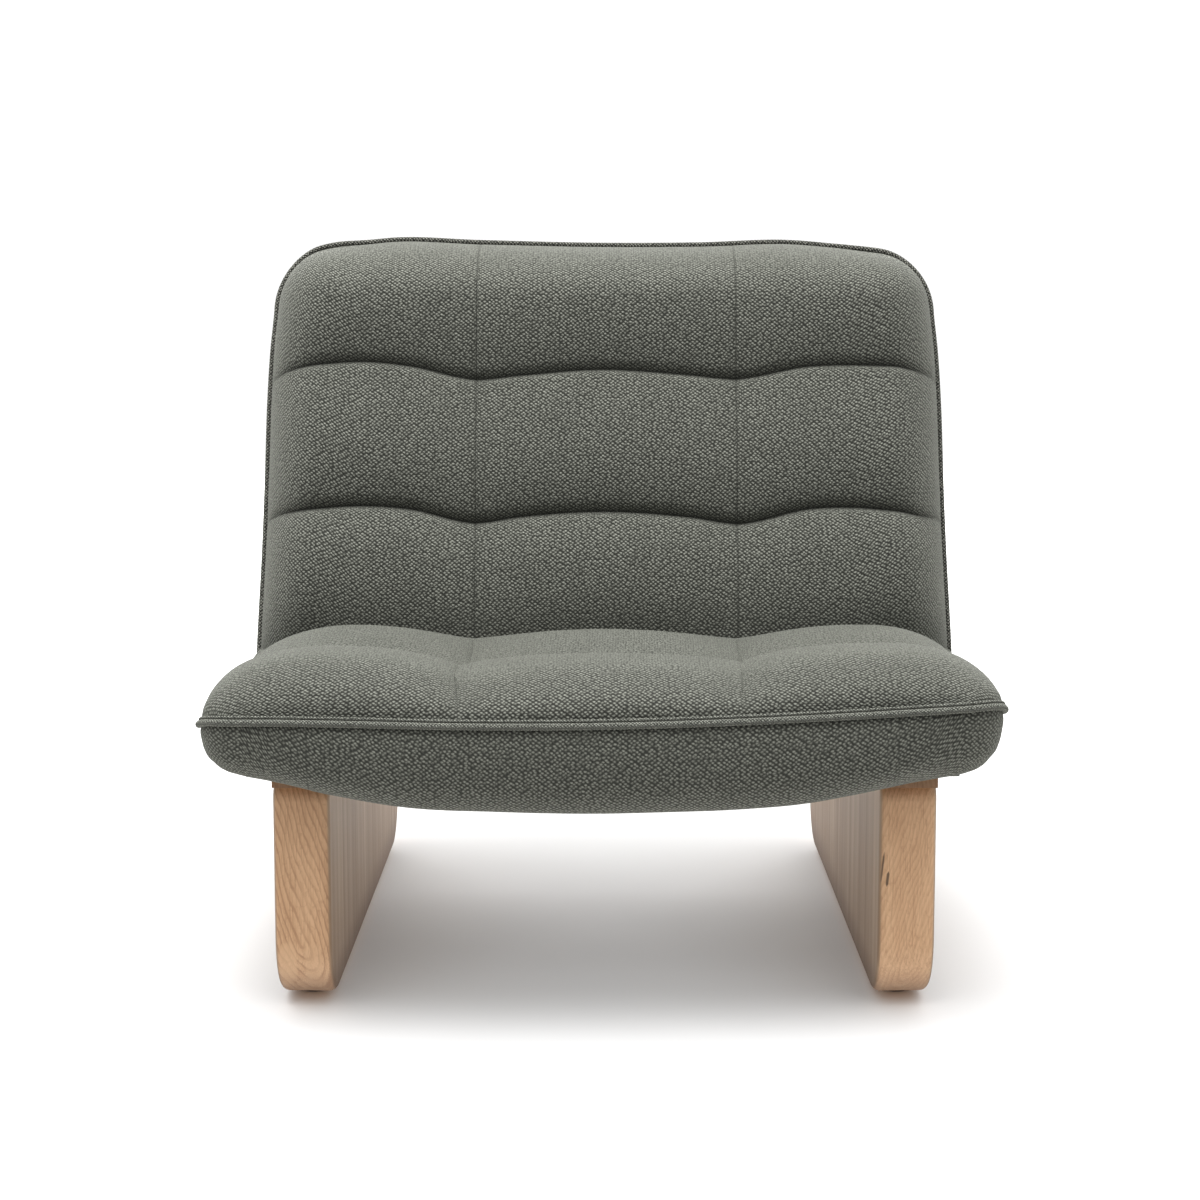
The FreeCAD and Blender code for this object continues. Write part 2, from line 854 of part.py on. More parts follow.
def mirrored(pieces):
    """Right hand pieces run outward; returns them joined to their mirror image, left end first."""
    left = [[(-px, pz) for px, pz in reversed(piece)] for piece in reversed(pieces)]
    return left + pieces


def between(first, second, share):
    return first + (second - first) * share


def soft(name, shape, label, lean_it=False):
    item = add("Part::Feature", name)
    item.Shape = shape
    if lean_it:
        turn = FreeCAD.Rotation(Vector(1, 0, 0), -number(lean))
        item.Placement = FreeCAD.Placement(Vector(0, number(pivot_y), number(pivot_z)), turn)
    return node(item, label)


def one(name):
    return number(size(name))


base_z = number(pad_base)
front = number(front_y)
edge_y = front + number(edge_setback)
half_wide = number(seat_half_width)
over = one("overrun")
clear = one("pad_clearance")
back_y = number(pivot_y)
back_z = number(pivot_z)
tangent = number(sine) / number(cosine)


def seat_plan(rear):
    """Plan of the seat with rounded front corners, as far as a rear line."""
    corner = one("seat_plan_corner")
    points = [(-half_wide, edge_y), (half_wide, edge_y), (half_wide, rear), (-half_wide, rear)]
    return rounded_pieces(points, [corner, corner, 0, 0])


def seat_pad_shape():
    """Two rows by three columns of crowned cells, sloping to the rear."""
    rear = back_y - clear
    valley_y = front + one("seat_row_front")
    crest_y = front + one("seat_crest_setback")
    front_top = (crest_y, base_z + one("seat_front_row_rise"))
    valley = (valley_y, base_z + one("seat_valley_rise"))
    rear_crest = (between(valley_y, rear, CROWN_MIDDLE_SHARE), base_z + one("seat_rear_row_rise"))
    rear_top = (rear, base_z + one("seat_rear_rise"))
    start = (edge_y, base_z)
    front_mid = (
        between(edge_y, crest_y, ROW_FRONT_SHARES[0]),
        between(base_z, front_top[1], ROW_FRONT_SHARES[1]),
    )
    fall_mid = (
        between(crest_y, valley_y, SLOPE_ARC_SHARES[0]),
        between(valley[1], front_top[1], SLOPE_ARC_SHARES[1]),
    )
    rows = [
        [start, front_mid, front_top],
        [front_top, fall_mid, valley],
        [valley, rear_crest, rear_top],
        [rear_top, (rear, base_z)],
        [(rear, base_z), start],
    ]
    row_prism = prism("yz", rows, -half_wide - over, 2 * (half_wide + over))
    seam = one("seam_offset")
    shoulder = half_wide - one("seat_shoulder_inset")
    outer_mid = between(seam, half_wide, CROWN_MIDDLE_SHARE)
    beyond = half_wide + one("seat_shoulder_inset")
    low = one("seat_seam_rise")
    columns = [
        [(-beyond, -over), (-beyond, low)],
        [(-beyond, low), (-outer_mid, one("seat_outer_crown")), (-seam, low)],
        [(-seam, low), (0, one("seat_mid_crown")), (seam, low)],
        [(seam, low), (outer_mid, one("seat_outer_crown")), (beyond, low)],
        [(beyond, low), (beyond, -over)],
        [(beyond, -over), (-beyond, -over)],
    ]
    column_prism = prism("xz", columns, -over, one("frame_length") + 2 * over)
    turn = FreeCAD.Rotation(Vector(1, 0, 0), -one("seat_slope"))
    column_prism.Placement = FreeCAD.Placement(Vector(0, crest_y, base_z), turn).multiply(
        FreeCAD.Placement(Vector(0, -(crest_y - front), 0), FreeCAD.Rotation())
    )
    side_mid = (
        between(half_wide, shoulder, 1 - SIDE_ARC_SHARES[0]),
        one("seat_shoulder_rise") * SIDE_ARC_SHARES[1],
    )
    high = one("seat_shoulder_rise") + over
    sides = mirrored([
        [(0, high), (shoulder, high)],
        [(shoulder, high), (shoulder, one("seat_shoulder_rise"))],
        [(shoulder, one("seat_shoulder_rise")), side_mid, (half_wide, 0)],
        [(half_wide, 0), (half_wide, -over)],
        [(half_wide, -over), (0, -over)],
    ])
    side_prism = prism("xz", sides, edge_y - over, rear - edge_y + 2 * over)
    side_prism.translate(Vector(0, 0, base_z))
    plan_prism = prism("xy", seat_plan(rear + over), base_z - over, 2 * over + one("seat_front_row_rise"))
    solid = row_prism.common(column_prism).common(side_prism).common(plan_prism)
    return solid.cut(seat_foam_shape(clear))


def seat_foam_shape(grow):
    """Wedge of foam on the webbing, thicker at the front."""
    inset = one("seat_foam_inset")
    wide = one("frame_half_width") - inset + grow
    low = number(frame_top) + 2 * one("strap_thick")
    high = base_z + one("seat_foam_front_rise") + grow
    start = number(frame_front) + inset - grow
    end = number(frame_rear) + grow
    rear_high = base_z - one("seat_foam_rear_drop") + grow
    points = [(start, low), (end, low), (end, rear_high), (start, high)]
    pieces = [[points[index - 1], point] for index, point in enumerate(points)]
    return prism("yz", pieces, -wide, 2 * wide)


def side_at(along):
    """Half width of the back at a height, on its straight tapering side."""
    low = number(along_at(pad_thick, slab_top))
    share = (along - low) / (one("back_height") - low)
    return half_wide - one("back_taper") * share


def back_outline(grow):
    """Front outline of the back with rounded top corners, grown all round, from its low edge."""
    low = number(along_at(pad_thick, slab_top)) - over
    high = one("back_height") + grow
    wide_low = side_at(low) + grow
    wide_high = side_at(high) + grow
    points = [(-wide_low, low), (wide_low, low), (wide_high, high), (-wide_high, high)]
    corner = one("back_corner") + grow
    return rounded_pieces(points, [0, 0, corner, corner])


def back_cavity(near, grow):
    """Room inside the back's cushioning, from a depth to the plane of the welt."""
    wide = one("frame_half_width") + grow
    low = one("back_foam_inset") - grow
    high = number(post_length) + grow
    room = Part.makeBox(2 * wide, one("back_pad_thick") - near, high - low)
    room.translate(Vector(-wide, near, low))
    return room


def back_pad_shape():
    """Three rows by three columns of crowned cells, square to the leaning face."""
    thick = one("back_pad_thick")
    crown = one("back_crown")
    bulge = one("back_row_crown")
    groove = one("back_seam_depth")
    low_seam = one("back_low_seam")
    high_seam = one("back_high_seam")
    top = one("back_height")
    crest_end = top - one("back_top_round")
    foot_rise = thick * tangent
    lead = crown * BACK_TOP_LEAD_SHARE
    rows = [
        [(0, 0), (-bulge, between(0, low_seam, CROWN_MIDDLE_SHARE)), (0, low_seam)],
        [(0, low_seam), (-bulge, between(low_seam, high_seam, CROWN_MIDDLE_SHARE)), (0, high_seam)],
        [(0, high_seam), (-bulge, between(high_seam, crest_end, BACK_TOP_CREST_SHARE)),
         (-lead, crest_end)],
        [(-lead, crest_end),
         (between(-lead, thick, BACK_TOP_SHARES[0]), between(crest_end, top, BACK_TOP_SHARES[1])),
         (thick, top)],
        [(thick, top), (thick, foot_rise)],
        [(thick, foot_rise), (0, 0)],
    ]
    row_prism = prism("yz", rows, -half_wide - over, 2 * (half_wide + over))
    seam = one("seam_offset")
    shoulder = half_wide - one("back_side_round")
    outer_mid = between(seam, shoulder, CROWN_MIDDLE_SHARE)
    side_mid = (
        between(shoulder, half_wide, BACK_SIDE_SHARES[0]),
        between(-lead, thick, BACK_SIDE_SHARES[1]),
    )
    columns = [
        [(-half_wide, thick), (-side_mid[0], side_mid[1]), (-shoulder, -lead)],
        [(-shoulder, -lead), (-outer_mid, -crown), (-seam, groove)],
        [(-seam, groove), (0, -crown), (seam, groove)],
        [(seam, groove), (outer_mid, -crown), (shoulder, -lead)],
        [(shoulder, -lead), side_mid, (half_wide, thick)],
        [(half_wide, thick), (half_wide, thick + over)],
        [(half_wide, thick + over), (-half_wide, thick + over)],
        [(-half_wide, thick + over), (-half_wide, thick)],
    ]
    column_prism = prism("xy", columns, -over, top + 2 * over)
    outline_prism = prism("xz", back_outline(0), -over, thick + 2 * over)
    solid = row_prism.common(column_prism).common(outline_prism)
    near = thick - one("back_foam_thick") - clear
    return solid.cut(back_cavity(near, clear))


def back_foam_shape():
    near = one("back_pad_thick") - one("back_foam_thick")
    foam = back_cavity(near, 0)
    strap_room = one("strap_thick") + clear
    wide = one("frame_half_width")
    slice_off = Part.makeBox(2 * wide, strap_room, number(post_length))
    slice_off.translate(Vector(-wide, one("back_pad_thick") - strap_room, 0))
    return foam.cut(slice_off)


def rear_cover_shape():
    """Padded cover behind the back, hollow over the posts, cut level with the frame's underside."""
    thick = one("back_pad_thick") + clear
    rear = number(back_depth)
    top = one("back_height")
    turn = one("rear_cover_round")
    profile = [
        (thick, number(along_at(thick, slab_top))),
        (rear, number(along_at(rear, slab_top))),
        (rear, top),
        (thick, top),
    ]
    side_pieces = rounded_pieces(profile, [0, turn / 2, turn, 0])
    side_prism = prism("yz", side_pieces, -half_wide - over, 2 * (half_wide + over))
    plan = [
        (-half_wide, thick - over), (half_wide, thick - over), (half_wide, rear), (-half_wide, rear),
    ]
    plan_prism = prism("xy", rounded_pieces(plan, [0, 0, turn, turn]), -3 * over, top + 4 * over)
    outline_prism = prism("xz", back_outline(0), thick - over, rear - thick + 2 * over)
    solid = side_prism.common(plan_prism).common(outline_prism)
    wide = one("frame_half_width") + clear
    deep = number(post_back) + clear - thick
    room = Part.makeBox(2 * wide, deep, number(post_length) + clear + 2 * over)
    room.translate(Vector(-wide, thick, -2 * over))
    return solid.cut(room)


def band_shapes():
    """The padded band under the welt as a front panel and two side panels that turn the corners."""
    drop = one("belly_drop")
    swell = one("band_swell")
    shoulder = (half_wide - one("belly_shoulder_inset"), -one("belly_shoulder_drop"))
    side = (half_wide - one("belly_side_inset"), -one("belly_side_drop"))
    corner = (half_wide + swell, -one("belly_corner_drop"))
    side_mid = (
        between(shoulder[0], side[0], BELLY_SIDE_SHARES[0]),
        between(shoulder[1], side[1], BELLY_SIDE_SHARES[1]),
    )
    corner_mid = (
        between(side[0], corner[0], BAND_CORNER_SHARES[0]),
        between(side[1], corner[1], BAND_CORNER_SHARES[1]),
    )
    right = [
        [shoulder, side_mid, side],
        [side, corner_mid, corner],
        [corner, (half_wide, 0)],
    ]
    left = [[(-px, pz) for px, pz in reversed(piece)] for piece in reversed(right)]
    belly = [(-shoulder[0], shoulder[1]), (0, -drop), shoulder]
    rim = [
        [(half_wide, 0), (half_wide, over)],
        [(half_wide, over), (-half_wide, over)],
        [(-half_wide, over), (-half_wide, 0)],
    ]
    outline = left + [belly] + right + rim
    rear_low = world_of(pad_thick - clear, along_at(pad_thick - clear, slab_top))
    rear_high = world_of(pad_thick - clear, along_at(pad_thick - clear, pad_base))
    cross_prism = prism("xz", outline, front - over, number(rear_high[0]) - front + 2 * over)
    cross_prism.translate(Vector(0, 0, base_z))
    low_z = number(slab_top)
    turn_point = (edge_y + swell / 2, base_z - drop * BAND_TURN_SHARE)
    belly_point = (front + one("belly_depth"), base_z - drop - clear)
    tuck_point = (number(inner_front), low_z)
    profile = [
        [(edge_y, base_z), (edge_y - swell, base_z - drop * BAND_SWELL_SHARE), turn_point],
        [turn_point,
         (between(turn_point[0], belly_point[0], BAND_TURN_SHARES[0]),
          between(turn_point[1], belly_point[1], BAND_TURN_SHARES[1])),
         belly_point],
        [belly_point,
         (between(belly_point[0], tuck_point[0], BAND_TUCK_SHARES[0]),
          between(belly_point[1], tuck_point[1], BAND_TUCK_SHARES[1])),
         tuck_point],
        [tuck_point, (number(rear_low[0]), low_z)],
        [(number(rear_low[0]), low_z), (number(rear_high[0]), base_z)],
        [(number(rear_high[0]), base_z), (edge_y, base_z)],
    ]
    side_prism = prism("yz", profile, -half_wide - over, 2 * (half_wide + over))
    wide = half_wide + swell
    radius = one("seat_plan_corner") + swell
    plan = [
        (-wide, edge_y - swell), (wide, edge_y - swell),
        (wide, number(rear_high[0]) + over), (-wide, number(rear_high[0]) + over),
    ]
    plan_prism = prism("xy", rounded_pieces(plan, [radius, radius, 0, 0]), 0, base_z + over)
    solid = cross_prism.common(side_prism).common(plan_prism)
    inner = one("frame_half_width") + clear
    room = Part.makeBox(2 * inner, number(rear_high[0]) + over - number(frame_front), base_z)
    room.translate(Vector(-inner, number(frame_front) - clear, low_z))
    solid = solid.cut(room)
    seam = half_wide - one("band_seam_inset")
    deep = number(rear_high[0]) - front
    middle = Part.makeBox(2 * seam - clear, deep, base_z)
    middle.translate(Vector(clear / 2 - seam, front, 0))
    outer = Part.makeBox(wide, deep, base_z)
    outer.translate(Vector(seam + clear / 2, front, 0))
    other = outer.mirror(Vector(0, 0, 0), Vector(1, 0, 0))
    return solid.common(middle), solid.common(other), solid.common(outer)


def tube(points_pieces, plane, depth):
    """A round welt along line and arc pieces in a plane at a given depth."""
    radius = one("welt_radius")
    shift = {"xy": Vector(0, 0, depth), "xz": Vector(0, depth, 0)}[plane]
    edges = []
    for piece in points_pieces:
        points = [spot(plane, *pair) + shift for pair in piece]
        if len(points) == 2:
            edges.append(Part.LineSegment(*points).toShape())
        else:
            edges.append(Part.Arc(*points).toShape())
    path = Part.Wire(edges)
    start = points_pieces[0]
    first = spot(plane, *start[0]) + shift
    heading = (spot(plane, *start[1]) + shift - first).normalize()
    ring = Part.Wire([Part.makeCircle(radius, first, heading)])
    return path.makePipeShell([ring], True, True)


def seat_welt_shape():
    radius = one("welt_radius")
    wide = half_wide + radius
    corner = one("seat_plan_corner") + radius
    rear = number(world_of(pad_thick, along_at(pad_thick, pad_base))[0]) - radius / number(cosine) - clear
    points = [(wide, rear), (wide, edge_y - radius), (-wide, edge_y - radius), (-wide, rear)]
    pieces = rounded_pieces(points, [0, corner, corner, 0])
    return tube(pieces[:-1], "xy", base_z)


def back_welt_shape():
    radius = one("welt_radius")
    low = number(along_at(pad_thick, pad_base))
    high = one("back_height") + radius
    corner = one("back_corner") + radius
    points = [
        (side_at(low) + radius, low), (side_at(high) + radius, high),
        (-side_at(high) - radius, high), (-side_at(low) - radius, low),
    ]
    pieces = rounded_pieces(points, [0, corner, corner, 0])
    return tube(pieces[:-1], "xz", one("back_pad_thick"))


def tie_spots():
    """Seat tuft places in plan and back tuft places on the leaning face."""
    seam = one("seam_offset")
    seat = [(side * seam, front + one("seat_row_front")) for _, side in SIDES]
    back = [
        (side * seam, height)
        for _, side in SIDES
        for height in (one("back_low_seam"), one("back_high_seam"))
    ]
    return seat, back


def foam_top(along_y):
    """Height of the seat foam's sloping top at a place front to rear."""
    start = number(frame_front) + one("seat_foam_inset")
    share = (along_y - start) / (number(frame_rear) - start)
    return between(base_z + one("seat_foam_front_rise"), base_z - one("seat_foam_rear_drop"), share)


seat_ties, back_ties = tie_spots()
deck_z = number(frame_top) + one("strap_thick")
seat_foam = seat_foam_shape(0)
back_foam = back_foam_shape()
ties = []
disc = one("tie_disc_radius"), one("tie_disc_thick")
for x, y in seat_ties:
    bore = Part.makeCylinder(one("tie_hole_radius"), over, Vector(x, y, deck_z))
    seat_foam = seat_foam.cut(bore)
    low = deck_z - disc[1]
    cord = Part.makeCylinder(one("tie_radius"), foam_top(y) + clear - low, Vector(x, y, low))
    ties.append(cord.fuse(Part.makeCylinder(*disc, Vector(x, y, low))))
rearward = Vector(0, 1, 0)
near = one("back_pad_thick") - one("back_foam_thick") - clear
lean_turn = FreeCAD.Placement(
    Vector(0, back_y, back_z), FreeCAD.Rotation(Vector(1, 0, 0), -number(lean))
)
for x, height in back_ties:
    bore = Part.makeCylinder(one("tie_hole_radius"), 2 * over, Vector(x, near, height), rearward)
    back_foam = back_foam.cut(bore)
    reach = one("back_pad_thick") + disc[1] - near
    cord = Part.makeCylinder(one("tie_radius"), reach, Vector(x, near, height), rearward)
    plate = Part.makeCylinder(*disc, Vector(x, one("back_pad_thick"), height), rearward)
    tie = cord.fuse(plate)
    tie.Placement = lean_turn
    ties.append(tie)

soft("SeatFoam", seat_foam, "seat_foam")
soft("SeatPad", seat_pad_shape(), "seat_pad")
soft("BackFoam", back_foam, "back_foam", True)
soft("BackPad", back_pad_shape(), "back_pad", True)
soft("RearCover", rear_cover_shape(), "rear_cover", True)
for band_name, band in zip(("front", "left", "right"), band_shapes()):
    soft(f"Band_{band_name}", band, f"seat_band_{band_name}")
soft("SeatWelt", seat_welt_shape(), "seat_welt")
soft("BackWelt", back_welt_shape(), "back_welt", True)
soft("TuftTies", Part.makeCompound(ties), "tuft_ties")

document.recompute()
faults = []
for item in document.Objects:
    if "Invalid" in item.State or "Error" in item.State:
        faults.append(f"{item.Name} {item.State}")
for item in NODES:
    shape = item.Shape
    if shape.isNull() or not shape.isValid() or not shape.Solids:
        faults.append(f"{item.Label} has no valid solid")
if faults:
    raise SystemExit("\n".join(faults))
os.makedirs("parts", exist_ok=True)
for item in NODES:
    item.Shape.exportStep(f"parts/{item.Label}.step")
    bounds = item.Shape.BoundBox
    print(
        f"{item.Label}: {len(item.Shape.Solids)} solids, {item.Shape.Volume:.0f} mm3, "
        f"x {bounds.XMin:.1f} {bounds.XMax:.1f} y {bounds.YMin:.1f} {bounds.YMax:.1f} "
        f"z {bounds.ZMin:.1f} {bounds.ZMax:.1f}"
    )
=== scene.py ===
"""Accent chair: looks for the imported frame.

Frame: metres, +X to the right in the front view, -Y to the front, +Z up, origin on the floor.
Upholstery is drawn as fine quad grids whose lines follow its seams, so every crease has its own edge.
"""

import logging
import math
from dataclasses import dataclass, replace
from enum import IntEnum
from typing import Sequence

import bpy
import numpy as np
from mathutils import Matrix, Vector


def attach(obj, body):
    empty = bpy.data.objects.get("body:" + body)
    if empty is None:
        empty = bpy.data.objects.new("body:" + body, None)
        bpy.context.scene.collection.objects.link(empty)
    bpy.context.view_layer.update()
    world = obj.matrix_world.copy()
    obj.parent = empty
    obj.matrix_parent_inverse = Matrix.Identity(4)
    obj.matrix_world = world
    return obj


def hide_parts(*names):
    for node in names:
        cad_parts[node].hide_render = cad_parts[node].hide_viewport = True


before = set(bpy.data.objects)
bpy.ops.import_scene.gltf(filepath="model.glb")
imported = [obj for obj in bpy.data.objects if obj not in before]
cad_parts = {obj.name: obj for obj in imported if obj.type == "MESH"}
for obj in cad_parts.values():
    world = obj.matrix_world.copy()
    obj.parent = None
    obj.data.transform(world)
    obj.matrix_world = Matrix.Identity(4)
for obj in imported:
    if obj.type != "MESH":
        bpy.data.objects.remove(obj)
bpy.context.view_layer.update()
LOG = logging.getLogger("accent_chair")

Array = np.ndarray
Colour = tuple[float, float, float, float]
Triple = tuple[float, float, float]
Pair = tuple[float, float]
Floats = tuple[float, ...]
Counts = tuple[int, ...]
Item = bpy.types.Object
Material = bpy.types.Material
Socket = bpy.types.NodeSocket

FRONT_Y = -0.42533
MIRROR = np.array([-1.0, 1.0])
HAIR = 1e-6


class Column(IntEnum):
    """Columns of the quilting, from left to right in the front view."""

    LEFT = 0
    MIDDLE = 1
    RIGHT = 2


# Curves and grids
def hermite(knots: Sequence[float], values: Sequence[float], at: Array) -> Array:
    """Smooth curve through given values with slopes from neighbouring knots.

    Args:
        knots: rising places where the values are given.
        values: the value at each knot.
        at: places to read the curve at; outside the knots the end values hold.
    Returns:
        The curve's value at each place.
    """
    xs, ys = np.asarray(knots, float), np.asarray(values, float)
    slopes = np.gradient(ys, xs)
    where = np.clip(at, xs[0], xs[-1])
    index = np.clip(np.searchsorted(xs, where, side="right") - 1, 0, len(xs) - 2)
    run = xs[index + 1] - xs[index]
    t = (where - xs[index]) / run
    start = (1 + 2 * t) * (1 - t) ** 2 * ys[index] + t * (1 - t) ** 2 * run * slopes[index]
    end = t * t * (3 - 2 * t) * ys[index + 1] + t * t * (t - 1) * run * slopes[index + 1]
    return start + end


def stations(breaks: Sequence[float], counts: Sequence[int]) -> tuple[Array, Array, Array]:
    """Grid stations that crowd towards every break.

    Inside each interval the share of the run is half of one minus a cosine, so steps shrink to the breaks.

    Args:
        breaks: rising break places.
        counts: steps in each interval.
    Returns:
        The stations, the interval each lies in, and its share of that interval.
    """
    places, cells, shares = [], [], []
    for index, count in enumerate(counts):
        share = (1 - np.cos(np.pi * np.arange(count + 1) / count)) / 2
        if index:
            share = share[1:]
        places.append(breaks[index] + (breaks[index + 1] - breaks[index]) * share)
        cells.append(np.full(len(share), index))
        shares.append(share)
    return np.concatenate(places), np.concatenate(cells), np.concatenate(shares)


def reached(value: Array, start: float, run: float) -> Array:
    """Share of a run that a value has reached, from 0 at its start to 1 at its end."""
    return np.clip((value - start) / run, 0, 1)


def left_over(value: Array, end: float, run: float) -> Array:
    """Share of a run that a value still has before it, from 1 down to 0 at its end."""
    return np.clip((end - value) / run, 0, 1)


def eased(value: Array, start: float, run: float) -> Array:
    """Share of a run reached, as a smooth step: three squares less two cubes."""
    share = reached(value, start, run)
    return share * share * (3 - 2 * share)


def bell(gap: Array, width: float) -> Array:
    """Bell curve: 1 on a line, falling off with the square of the gap over the width."""
    return np.exp(-(gap / width) ** 2)


def arch(share: Array, power: float) -> Array:
    """Height of a stuffed cell between two seams: 0 at shares 0 and 1, and 1 in the middle."""
    return (1 - (2 * share - 1) ** 2).clip(0, 1) ** power


def bowed(share: Array, power: float) -> Array:
    """Half of such a cell: 1 at share 0, round down to 0 at share 1."""
    return (1 - np.clip(share, 0, 1) ** 2).clip(0, 1) ** power


def edge_rise(distance: Array, reach: float | Array, power: float | Array) -> Array:
    """Rise from 0 at a sewn edge to 1 at a reach inward, as a quarter oval; a power of 0.5 starts it upright."""
    return (1 - (1 - np.clip(distance / reach, 0, 1)) ** 2) ** power


def quilted_columns(
    wide: Array, left: Array, right: Array, counts: Sequence[int], reach: float, power: float
) -> tuple[Array, Array, Array]:
    """Columns of a quilted cover between its sides and its two seams.

    The middle column swells as an arch. The outer ones rise from their seam as a quarter oval and stay full.

    Args:
        wide: half width of each row, as a column of the grid.
        left: place of the left seam in each row.
        right: place of the right seam in each row.
        counts: grid steps in each column.
        reach: share of an outer column over which it rises.
        power: roundness of both swellings.
    Returns:
        The places across, the Column of each grid line, and how full it is, from 0 in a seam to 1.
    """
    _, column, share = stations((0.0, 1.0, 2.0, 3.0), counts)
    starts = np.concatenate([-wide, left, right], axis=1)[:, column]
    ends = np.concatenate([left, right, wide], axis=1)[:, column]
    outer = np.where(column == Column.LEFT, 1 - share, share)
    puff = np.where(column == Column.MIDDLE, arch(share, power), edge_rise(outer, reach, power))
    return starts + (ends - starts) * share[None, :], column, puff[None, :]


def arc_lengths(points: Array, axis: int) -> Array:
    """Distance of each point of a grid from the first of its line: down its columns is axis 0, along its rows 1."""
    steps = np.linalg.norm(np.diff(points, axis=axis), axis=2)
    return np.insert(np.cumsum(steps, axis=axis), 0, 0, axis=axis)


def path_lengths(path: Array) -> Array:
    """Distance of each point of a path from its first."""
    return arc_lengths(path[None], 1)[0]


def grid_quads(rows: int, cols: int, offset: int = 0, flip: bool = False, wrap: bool = False) -> Array:
    """Corner indices of a grid's quads, row by row.

    Args:
        rows: vertices along the first axis.
        cols: vertices along the second axis.
        offset: index of the grid's first vertex.
        flip: reverse the winding.
        wrap: join the last column to the first.
    Returns:
        Four vertex indices for each quad.
    """
    row = np.arange(rows - 1)[:, None]
    col = np.arange(cols if wrap else cols - 1)[None, :]
    after = (col + 1) % cols
    corners = (row * cols + col, row * cols + after, (row + 1) * cols + after, (row + 1) * cols + col)
    quads = np.stack(np.broadcast_arrays(*corners), axis=-1).reshape(-1, 4)
    return (quads[:, ::-1] if flip else quads) + offset


def border(rows: int, cols: int) -> Array:
    """Indices round a grid's border in one loop."""
    index = np.arange(rows * cols).reshape(rows, cols)
    return np.concatenate([index[0, :-1], index[:-1, -1], index[-1, :0:-1], index[:0:-1, 0]])


def new_piece(name: str, points: Array, quads: Array, uv: Array, stitch_and_shade: Array, material: Material) -> Item:
    """Mesh object of quads with smooth shading, a UV map in metres and an attribute of stitch marks and painted shade.

    Args:
        name: the piece's name.
        points: vertex places, in metres.
        quads: four vertex indices for each face.
        uv: cloth coordinates of each vertex, in metres along its threads.
        stitch_and_shade: 0 on open cloth to 1 in a sewn line or under full painted shade, for each vertex.
        material: the piece's material.
    Returns:
        The piece, in the scene and fixed to the frame's root.
    """
    mesh = bpy.data.meshes.new(name)
    count = len(quads)
    mesh.vertices.add(len(points))
    mesh.vertices.foreach_set("co", points.astype(np.float32).ravel())
    mesh.loops.add(count * 4)
    mesh.loops.foreach_set("vertex_index", quads.astype(np.int32).ravel())
    mesh.polygons.add(count)
    mesh.polygons.foreach_set("loop_start", np.arange(count, dtype=np.int32) * 4)
    mesh.polygons.foreach_set("use_smooth", np.ones(count, dtype=bool))
    layer = mesh.uv_layers.new(name="cloth")
    layer.data.foreach_set("uv", uv[quads.ravel()].astype(np.float32).ravel())
    attribute = mesh.attributes.new("stitch_and_shade", "FLOAT", "POINT")
    attribute.data.foreach_set("value", stitch_and_shade.astype(np.float32).ravel())
    mesh.update(calc_edges=True)
    mesh.validate()
    item = bpy.data.objects.new(name, mesh)
    bpy.context.scene.collection.objects.link(item)
    mesh.materials.append(material)
    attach(item, "root")
    return item


def shell(
    name: str, outer: Array, inner: Array, stitch_and_shade: Array, material: Material, across: Array | None = None
) -> Item:
    """Closed piece from an outer and an inner grid of the same layout, joined round their borders.

    The cloth coordinates are lengths along the outer grid's two sets of lines.

    Args:
        name: the piece's name.
        outer: points of the outer grid.
        inner: points of the inner grid.
        stitch_and_shade: stitch mark and painted shade of each outer point.
        material: the piece's material.
        across: lengths across for each column, if not measured from the middle column.
    Returns:
        The piece.
    """
    rows, cols, _ = outer.shape
    if across is None:
        across = arc_lengths(outer, 1)
        across -= across[:, cols // 2][:, None]
    else:
        across = np.broadcast_to(across[None, :], (rows, cols))
    uv = np.stack([across, arc_lengths(outer, 0)], axis=-1).reshape(-1, 2)
    count = rows * cols
    points = np.concatenate([outer.reshape(-1, 3), inner.reshape(-1, 3)])
    loop = border(rows, cols)
    after = np.roll(loop, -1)
    rim = np.stack([loop, loop + count, after + count, after], axis=-1)
    quads = np.concatenate([grid_quads(rows, cols), grid_quads(rows, cols, count, flip=True), rim])
    marks = np.concatenate([stitch_and_shade.ravel(), np.zeros(count)])
    return new_piece(name, points, quads, np.concatenate([uv, uv]), marks, material)


def tube_piece(name: str, path: Array, radius: float, material: Material, up: Sequence[float] = (0, 0, 1)) -> Item:
    """Closed round cord along a path: rings square to it, and a fan of faces over each end.

    Args:
        name: the piece's name.
        path: points of its middle line.
        radius: its radius.
        material: the piece's material.
        up: direction that the rings' upright axis keeps close to.
    Returns:
        The piece.
    """
    sides, closing = 12, 0.001
    tangent = np.gradient(path, axis=0)
    tangent /= np.linalg.norm(tangent, axis=1)[:, None]
    side = np.cross(tangent, np.array(up))
    side /= np.linalg.norm(side, axis=1)[:, None]
    high = np.cross(side, tangent)
    angle = 2 * np.pi * np.arange(sides) / sides
    turned = np.cos(angle)[None, :, None] * side[:, None, :] + np.sin(angle)[None, :, None] * high[:, None, :]
    ring = path[:, None, :] + radius * turned
    length = path_lengths(path)
    start, end = (path[at] + (ring[at] - path[at]) * closing for at in (0, -1))
    points = np.concatenate([start, ring.reshape(-1, 3), end])
    along = np.concatenate([[0], length, [length[-1]]])[:, None]
    uv = np.stack(np.broadcast_arrays(along, radius * angle[None, :]), axis=-1).reshape(-1, 2)
    quads = grid_quads(len(path) + 2, sides, flip=True, wrap=True)
    return new_piece(name, points, quads, uv, np.zeros(len(points)), material)


